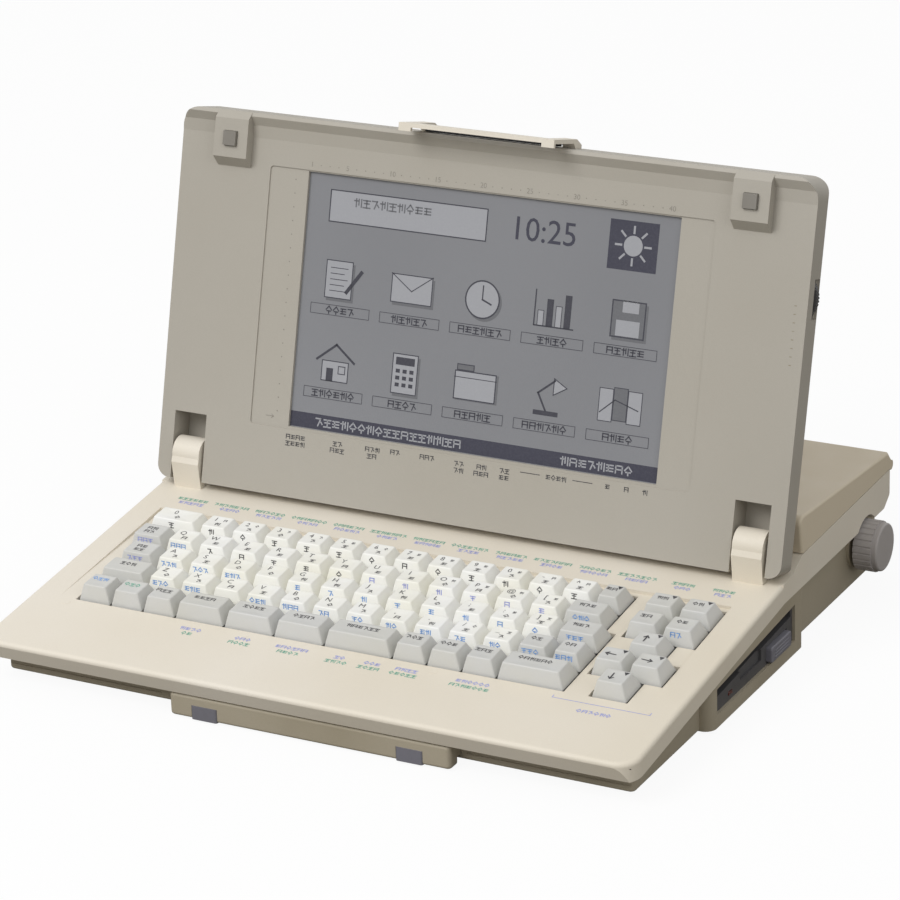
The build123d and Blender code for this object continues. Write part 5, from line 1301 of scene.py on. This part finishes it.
# ------------------------------------------------------------- the display
@dataclass
class MenuPicture:
    """What the display shows: a plain menu of office motifs in two rows."""

    writer: SignWriter
    plane: Lay
    width: float = 212.5
    middle_x: float = 3.0
    low: float = 23.0
    glass: float = 3.7
    step: float = 0.02
    top_layer: int = 3
    notice: tuple = (59, 118, 92, 17)
    square: tuple = (187, 117, 27, 25)
    columns: int = 5
    column_step: float = 41
    first_column: float = 24
    motif_rows: Pair = (77, 33)
    marks: list[Piece] = field(default_factory=list)

    def build(self) -> None:
        """Draw the bars, the motifs and their labels, and lay them on the glass."""
        self.header()
        self.footer()
        motifs = (self.page, self.envelope, self.clock, self.bars, self.disk,
                  self.house, self.calculator, self.folder, self.lamp, self.map_sheet)
        for number, motif in enumerate(motifs):
            x = self.first_column + self.column_step * (number % self.columns)
            y = self.motif_rows[number // self.columns]
            motif(x, y + 3)
            self.framed(x, y - 13.2, 35, 5.6, Tone.LINE, 0.3)
            self.write(x, y - 15.3, 4 + number % 3, 4.2, Tone.LINE)
        picture = gather("menu_picture", self.marks)
        left = self.middle_x - self.width / 2
        picture.matrix_world = self.plane.matrix() @ at(left, self.low, self.glass + self.step)
        settle(picture)
        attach(picture, "lid")
        log.info("menu_picture: %d marks", len(self.marks))

    def put(self, mark: Piece, x: float, y: float, tone: Tone, layer: int = 1,
            turn: float = 0.0) -> None:
        """Set a flat shape in the picture.

        Args:
            mark: Shape at its own origin.
            x: Place from the display's left edge.
            y: Place from its lower edge.
            tone: Its grey.
            layer: Which shapes it covers.
            turn: Degrees about its middle.
        """
        self.marks.append(self.writer.inked(mark, at(x, y, layer * self.step, turn), tone))

    def write(self, x: float, y: float, count: int, height: float, tone: Tone) -> None:
        """Write a label over the shapes."""
        self.marks += self.writer.label(x, y, count, height, tone, self.top_layer * self.step)

    def patch(self, x: float, y: float, width: float, height: float, tone: Tone, layer: int = 1) -> None:
        """Draw a filled rectangle."""
        self.put(leaf(width, height), x, y, tone, layer)

    def framed(self, x: float, y: float, width: float, height: float, tone: Tone, line: float = 0.5) -> None:
        """Draw a rectangle's outline."""
        self.put(hollow(leaf(width, height), line), x, y, tone, self.top_layer)

    def stroke(self, x1: float, y1: float, x2: float, y2: float, width: float = 0.5,
               tone: Tone = Tone.LINE) -> None:
        """Draw a line between two points."""
        self.put(self.writer.line(x1, y1, x2, y2, width), 0, 0, tone, self.top_layer)

    def path(self, points: tuple[Pair, ...], width: float = 0.5) -> None:
        """Draw lines from point to point."""
        for start, end in zip(points, points[1:]):
            self.stroke(*start, *end, width)

    def header(self) -> None:
        """Draw the notice at the left, the time and the dark square at the right."""
        self.patch(*self.notice, Tone.PALE)
        self.framed(*self.notice, Tone.LINE, 0.6)
        self.write(50, 118.5, 9, 5.0, Tone.FAINT)
        self.put(lettering("10:25", 12), 137, 118, Tone.DARK, 2)
        self.patch(*self.square, Tone.DARK)
        x, y = self.square[:2]
        self.put(dot(5.2, 28), x, y, Tone.PALE, 2)
        for turn in range(0, 360, 45):
            reach = Vector((math.cos(math.radians(turn)), math.sin(math.radians(turn))))
            near, far = reach * 6.6, reach * 9.6
            self.stroke(x + near.x, y + near.y, x + far.x, y + far.y, 1.1, Tone.PALE)

    def footer(self) -> None:
        """Draw the dark bar with its two notices."""
        self.patch(self.width / 2, 4.4, self.width, 8.0, Tone.DARK)
        for x, count in ((58, 17), (178, 8)):
            self.write(x, 1.9, count, 5.0, Tone.PALE)

    def shadow(self, x: float, y: float, width: float, height: float) -> None:
        """Draw the soft shadow that a motif casts to the lower right."""
        self.patch(x + 1.2, y - 1.4, width, height, Tone.FAINT)

    def card(self, x: float, y: float, width: float, height: float, tone: Tone = Tone.PALE,
             line: float = 0.5) -> None:
        """Draw a framed rectangle with its shadow.

        Args:
            x: Its middle from the display's left edge.
            y: Its middle from the lower edge.
            width: Its width.
            height: Its height.
            tone: What it is filled with.
            line: Width of its outline.
        """
        self.shadow(x, y, width, height)
        self.patch(x, y, width, height, tone, 2)
        self.framed(x, y, width, height, Tone.LINE, line)

    def page(self, x: float, y: float) -> None:
        """Draw a written page with a pencil.

        Args:
            x: Its middle from the display's left edge.
            y: Its middle from the lower edge.
        """
        self.card(x - 2, y, 16, 20)
        for line in range(5):
            self.stroke(x - 7, y + 6 - 3 * line, x + 3 - 2 * (line % 2), y + 6 - 3 * line, 0.4)
        self.stroke(x + 3, y - 6, x + 11, y + 5, 2.0)

    def envelope(self, x: float, y: float) -> None:
        """Draw a closed envelope.

        Args:
            x: Its middle from the display's left edge.
            y: Its middle from the lower edge.
        """
        self.card(x, y, 24, 15)
        self.path(((x - 12, y + 7.5), (x, y - 1), (x + 12, y + 7.5)))

    def clock(self, x: float, y: float) -> None:
        """Draw a clock's face.

        Args:
            x: Its middle from the display's left edge.
            y: Its middle from the lower edge.
        """
        self.put(dot(10, 32), x + 1.2, y - 1.2, Tone.FAINT)
        self.put(dot(10, 32), x, y, Tone.PALE, 2)
        self.put(hollow(dot(10, 32), 0.8), x, y, Tone.LINE, 3)
        self.stroke(x, y, x, y + 7, 0.7)
        self.stroke(x, y, x + 5, y - 2, 0.9)

    def bars(self, x: float, y: float) -> None:
        """Draw a bar chart.

        Args:
            x: Its middle from the display's left edge.
            y: Its middle from the lower edge.
        """
        self.stroke(x - 11, y - 9, x + 11, y - 9, 0.7)
        self.stroke(x - 11, y - 9, x - 11, y + 9, 0.7)
        for number, rise in enumerate((8, 14, 11, 17)):
            bar = (x - 7.5 + 5 * number, y - 9 + rise / 2, 3.6, rise)
            self.patch(*bar, (Tone.PALE, Tone.LINE)[number % 2], 2)
            self.framed(*bar, Tone.LINE, 0.35)

    def disk(self, x: float, y: float) -> None:
        """Draw a square disk in its case.

        Args:
            x: Its middle from the display's left edge.
            y: Its middle from the lower edge.
        """
        self.card(x, y, 19, 19, Tone.FAINT, 0.7)
        self.patch(x + 1, y + 6.4, 9, 6, Tone.PALE, 3)
        self.patch(x, y - 4.6, 13, 8, Tone.PALE, 3)

    def house(self, x: float, y: float) -> None:
        """Draw a small house.

        Args:
            x: Its middle from the display's left edge.
            y: Its middle from the lower edge.
        """
        self.patch(x, y - 4, 16, 11, Tone.PALE, 2)
        self.framed(x, y - 4, 16, 11, Tone.LINE)
        self.path(((x - 11, y + 1.5), (x, y + 10), (x + 11, y + 1.5)), 1.2)
        self.patch(x - 3, y - 6, 4, 7, Tone.LINE, 3)
        self.framed(x + 4, y - 3, 4.4, 4.4, Tone.LINE)

    def calculator(self, x: float, y: float) -> None:
        """Draw a pocket calculator.

        Args:
            x: Its middle from the display's left edge.
            y: Its middle from the lower edge.
        """
        self.card(x, y, 15, 21)
        self.patch(x, y + 6.6, 11, 4, Tone.LINE, 3)
        for number in range(9):
            self.patch(x - 4 + 4 * (number % 3), y + 1.4 - 3.6 * (number // 3), 2.4, 2.0, Tone.LINE, 3)

    def folder(self, x: float, y: float) -> None:
        """Draw a filing folder.

        Args:
            x: Its middle from the display's left edge.
            y: Its middle from the lower edge.
        """
        self.patch(x - 6, y + 8.2, 10, 3.4, Tone.FAINT, 2)
        self.shadow(x, y, 24, 15)
        self.patch(x, y - 1, 24, 15, Tone.PALE, 2)
        self.framed(x, y - 1, 24, 15, Tone.LINE, 0.6)
        self.framed(x - 6, y + 8.2, 10, 3.4, Tone.LINE)
        self.stroke(x - 12, y + 3, x + 12, y + 3, 0.4)

    def lamp(self, x: float, y: float) -> None:
        """Draw a desk lamp.

        Args:
            x: Its middle from the display's left edge.
            y: Its middle from the lower edge.
        """
        self.patch(x, y - 9, 14, 2.4, Tone.LINE, 2)
        self.path(((x, y - 8), (x - 5, y + 1), (x + 4, y + 8)), 1.0)
        self.put(dot(5.4, 3), x + 6, y + 5, Tone.PALE, 2, 30)
        self.put(hollow(dot(5.4, 3), 0.5), x + 6, y + 5, Tone.LINE, 3, 30)

    def map_sheet(self, x: float, y: float) -> None:
        """Draw a folded map.

        Args:
            x: Its middle from the display's left edge.
            y: Its middle from the lower edge.
        """
        for number in range(3):
            fold = (x - 8 + 8 * number, y + (number % 2), 8, 17)
            self.patch(*fold, (Tone.PALE, Tone.FAINT)[number % 2], 2)
            self.framed(*fold, Tone.LINE, 0.4)
        self.path(((x - 11, y - 4), (x - 3, y + 3), (x + 10, y - 1)), 0.6)


# ------------------------------------------------------- the disk drive's front
@dataclass
class DriveFront:
    """Small parts on the disk drive's front: its lamp and the button's ribs."""

    palette: Palette
    frame: Frame
    face: float = 178.9
    lamp_at: Pair = (114.0, 13.4)
    lamp_size: Pair = (4.6, 2.0)
    lamp_sink: float = 1.2
    lamp_rise: float = 0.35
    lamp_edge: float = 0.3
    rib_pitch: float = 1.7
    rib_inset: float = 5
    rib_sink: float = 0.4
    rib_rise: float = 0.25
    rib_half: float = 0.3
    rib_count: int = 3

    def build(self) -> None:
        """Make the lamp's lens and the ribs on the eject button."""
        self.lamp()
        self.ribs()

    def lamp(self) -> None:
        """Model the lens: a low block with rounded edges in the bezel."""
        along, height = self.lamp_at
        x = self.frame.case_x + self.face
        half, tall = self.lamp_size[0] / 2, self.lamp_size[1] / 2
        lens = block("drive_lamp", (x - self.lamp_sink, self.frame.front_y + along - half, height - tall),
                     (x + self.lamp_rise, self.frame.front_y + along + half, height + tall))
        round_edges(lens, self.lamp_edge, lambda edge: True)
        finish_with(lens, self.palette.of("lamp_lens"))
        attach(lens, "case")
        log.info("drive_lamp")

    def ribs(self) -> None:
        """Model one finger rib and copy it along the button's outer edge."""
        low, high = (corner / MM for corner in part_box("eject_button"))
        middle = (low.z + high.z) / 2
        rib = block("rib_model", (high.x - self.rib_sink, low.y + self.rib_inset, -self.rib_half),
                    (high.x + self.rib_rise, high.y - self.rib_inset, self.rib_half))
        round_edges(rib, self.rib_rise, lambda edge: all(vertex.co.x > high.x * MM for vertex in edge.verts))
        shift = (self.rib_count - 1) / 2
        ribs = [copy_at(rib, at(0, 0, middle + (number - shift) * self.rib_pitch))
                for number in range(self.rib_count)]
        discard(rib)
        piece = finish_with(gather("eject_button_ribs", ribs), self.palette.of("pad_grey"))
        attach(piece, "eject")
        log.info("eject_button_ribs: %d", self.rib_count)


@dataclass
class LatchBuffer:
    """Dark strip of painted shade that stands for the shadowed gap between the latch bail's cross bar and the
    lid's top edge.
    """

    palette: Palette
    plane: Lay
    half: float = 37.4
    low: float = 184.9
    high: float = 186.9
    back: float = -1.0
    front: float = 6.0
    edge: float = 0.5

    def build(self) -> None:
        """Model the strip with rounded edges and fix it to the bail."""
        # Painted shade: a dark rubber strip put where the gap under the bail is only in shadow.
        strip = block("latch_buffer", (-self.half, self.low, self.back), (self.half, self.high, self.front))
        round_edges(strip, self.edge, lambda edge: True)
        self.plane.lay(finish_with(strip, self.palette.of("rubber_dark")))
        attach(strip, "latch")
        log.info("latch_buffer")


# ----------------------------------------------------------- carried-over nodes
@dataclass
class MouldedParts:
    """The modelled solids that keep their shape and only get their finish."""

    palette: Palette
    own_finish: dict[str, str] = field(default_factory=lambda: {
        "floppy_drive": "black_plastic", "lid_studs": "stud_grey", "printer_cover": "cover_cream"})

    def build(self) -> None:
        """Give each node the finish of its slot in the record, or its own."""
        for part in frame["record"]["subparts"]:
            node = part["node"]
            material = self.palette.of(self.own_finish.get(node, part["material_slot"]))
            piece = frame["nodes"][node]
            if not piece.material_slots:
                piece.data.materials.append(material)
            for slot in piece.material_slots:
                slot.material = material
        log.info("moulded parts: %d nodes", len(frame["nodes"]))


# ------------------------------------------------------------------ studio
@dataclass
class Studio:
    """Camera, floor and soft light."""

    camera_at: Triple = (837.65, -1553.1, 772.0)
    yaw: float = 28.386
    pitch: float = 20.966
    roll: float = -1.871
    lens: float = 149.1
    sensor: float = 36.0
    clip: Pair = (0.05, 60.0)
    lamps: tuple = (("key_light", (-0.9, -2.0, 2.3), 1.7, 54.0), ("fill_light", (2.2, -1.2, 1.5), 1.4, 9.0))
    lamp_aim: Triple = (0, 0, 0.08)
    ambient: float = 0.56
    floor_size: float = 14.0
    floor_white: float = 0.93
    floor_bounce: Colour = (128, 124, 116)
    floor_tints: tuple[Colour, Colour] = ((240, 240, 240), (237, 237, 236))

    def build(self) -> None:
        """Set up the camera, the floor, the lamps and the surrounding light."""
        self.camera()
        self.floor()
        for lamp in self.lamps:
            self.lamp(*lamp)
        self.surroundings()
        bpy.context.scene.view_settings.view_transform = "Standard"
        log.info("studio: camera, floor and %d lamps", len(self.lamps))

    def camera(self) -> None:
        """Place the camera at the photograph's viewpoint."""
        yaw, pitch, roll = (math.radians(value) for value in (self.yaw, self.pitch, self.roll))
        right = Vector((math.cos(yaw), math.sin(yaw), 0))
        ahead = Vector((-math.sin(yaw) * math.cos(pitch), math.cos(yaw) * math.cos(pitch), -math.sin(pitch)))
        up = right.cross(ahead)
        side = math.cos(roll) * right + math.sin(roll) * up
        top = -math.sin(roll) * right + math.cos(roll) * up
        data = bpy.data.cameras.new("studio_camera")
        data.lens, data.sensor_width = self.lens, self.sensor
        data.clip_start, data.clip_end = self.clip
        camera = bpy.data.objects.new("studio_camera", data)
        bpy.context.scene.collection.objects.link(camera)
        turn = Matrix((side, top, -ahead)).transposed().to_4x4()
        camera.matrix_world = Matrix.Translation(Vector(self.camera_at) * MM) @ turn
        bpy.context.scene.camera = camera

    def lamp(self, name: str, place: Triple, size: float, power: float) -> None:
        """Hang a square soft lamp that faces the object.

        Args:
            name: Its name.
            place: Where it hangs, in metres.
            size: Its side in metres.
            power: Its power in watts.
        """
        data = bpy.data.lights.new(name, "AREA")
        data.size, data.energy = size, power
        lamp = bpy.data.objects.new(name, data)
        bpy.context.scene.collection.objects.link(lamp)
        lamp.location = place
        aim = Vector(self.lamp_aim) - Vector(place)
        lamp.rotation_euler = aim.to_track_quat("-Z", "Y").to_euler()

    def floor(self) -> None:
        """Lay the floor, near white to the camera but with the object's shadow on it."""
        clear_selection()
        bpy.ops.mesh.primitive_plane_add(size=self.floor_size)
        floor = bpy.context.object
        floor.name = "studio_floor"
        shader = Shader("floor_paper")
        tint = shader.blend(shader.spread(shader.noise(3.0), 0.0, 1.0), *self.floor_tints)
        bounce = shader.add("Mix")
        bounce.data_type = "RGBA"
        bounce.inputs[MIX_FIRST].default_value = linear(self.floor_bounce)
        shader.join(tint, bounce.inputs[MIX_SECOND])
        shader.paint(bounce.outputs[MIX_RESULT])
        shader.level("Roughness", 0.95)
        shader.level("Specular IOR Level", 0.0)
        white, path, mix = (shader.add(kind) for kind in ("Emission", "LightPath", "MixShader"))
        share = shader.add("Math")
        share.operation = "MULTIPLY"
        share.inputs[1].default_value = self.floor_white
        seen = path.outputs["Is Camera Ray"]
        for source, target in ((seen, share.inputs[0]), (seen, bounce.inputs["Factor"]),
                               (share.outputs[0], mix.inputs["Fac"]), (shader.body.outputs[0], mix.inputs[1]),
                               (white.outputs[0], mix.inputs[2]),
                               (mix.outputs[0], shader.tree.nodes["Material Output"].inputs["Surface"])):
            shader.join(source, target)
        finish_with(floor, shader.material)

    def surroundings(self) -> None:
        """Light the object softly from all round, on a background that shows white."""
        world = bpy.data.worlds.new("studio_world")
        bpy.context.scene.world = world
        world.use_nodes = True
        tree = world.node_tree
        soft = tree.nodes["Background"]
        soft.inputs["Color"].default_value = (1, 1, 1, 1)
        soft.inputs["Strength"].default_value = self.ambient
        seen = tree.nodes.new("ShaderNodeBackground")
        seen.inputs["Color"].default_value = (1, 1, 1, 1)
        path = tree.nodes.new("ShaderNodeLightPath")
        first, second = (tree.nodes.new("ShaderNodeMath") for _ in range(2))
        for node in (first, second):
            node.operation = "MAXIMUM"
        mix = tree.nodes.new("ShaderNodeMixShader")
        for source, target in ((path.outputs["Is Camera Ray"], first.inputs[0]),
                               (path.outputs["Is Glossy Ray"], first.inputs[1]),
                               (first.outputs[0], second.inputs[0]),
                               (path.outputs["Is Transmission Ray"], second.inputs[1]),
                               (second.outputs[0], mix.inputs["Fac"]),
                               (soft.outputs[0], mix.inputs[1]), (seen.outputs[0], mix.inputs[2]),
                               (mix.outputs[0], tree.nodes["World Output"].inputs["Surface"])):
            tree.links.new(source, target)


def main() -> None:
    """Build the studio and every sub-assembly in order."""
    logging.basicConfig(level=logging.INFO, format="%(name)s: %(message)s")
    planes = Frame()
    palette = Palette()
    Studio().build()
    MouldedParts(palette).build()
    writer = SignWriter(palette)
    KeySet(palette, writer, planes.keys()).build()
    DeckPrint(writer, planes.deck()).build()
    LidPrint(writer, planes.lid()).build()
    MenuPicture(writer, planes.lid()).build()
    DriveFront(palette, planes).build()
    # Painted shade: the dark strip in the gap under the latch bail.
    LatchBuffer(palette, planes.lid()).build()
    writer.close()


if __name__ == "__main__":
    main()
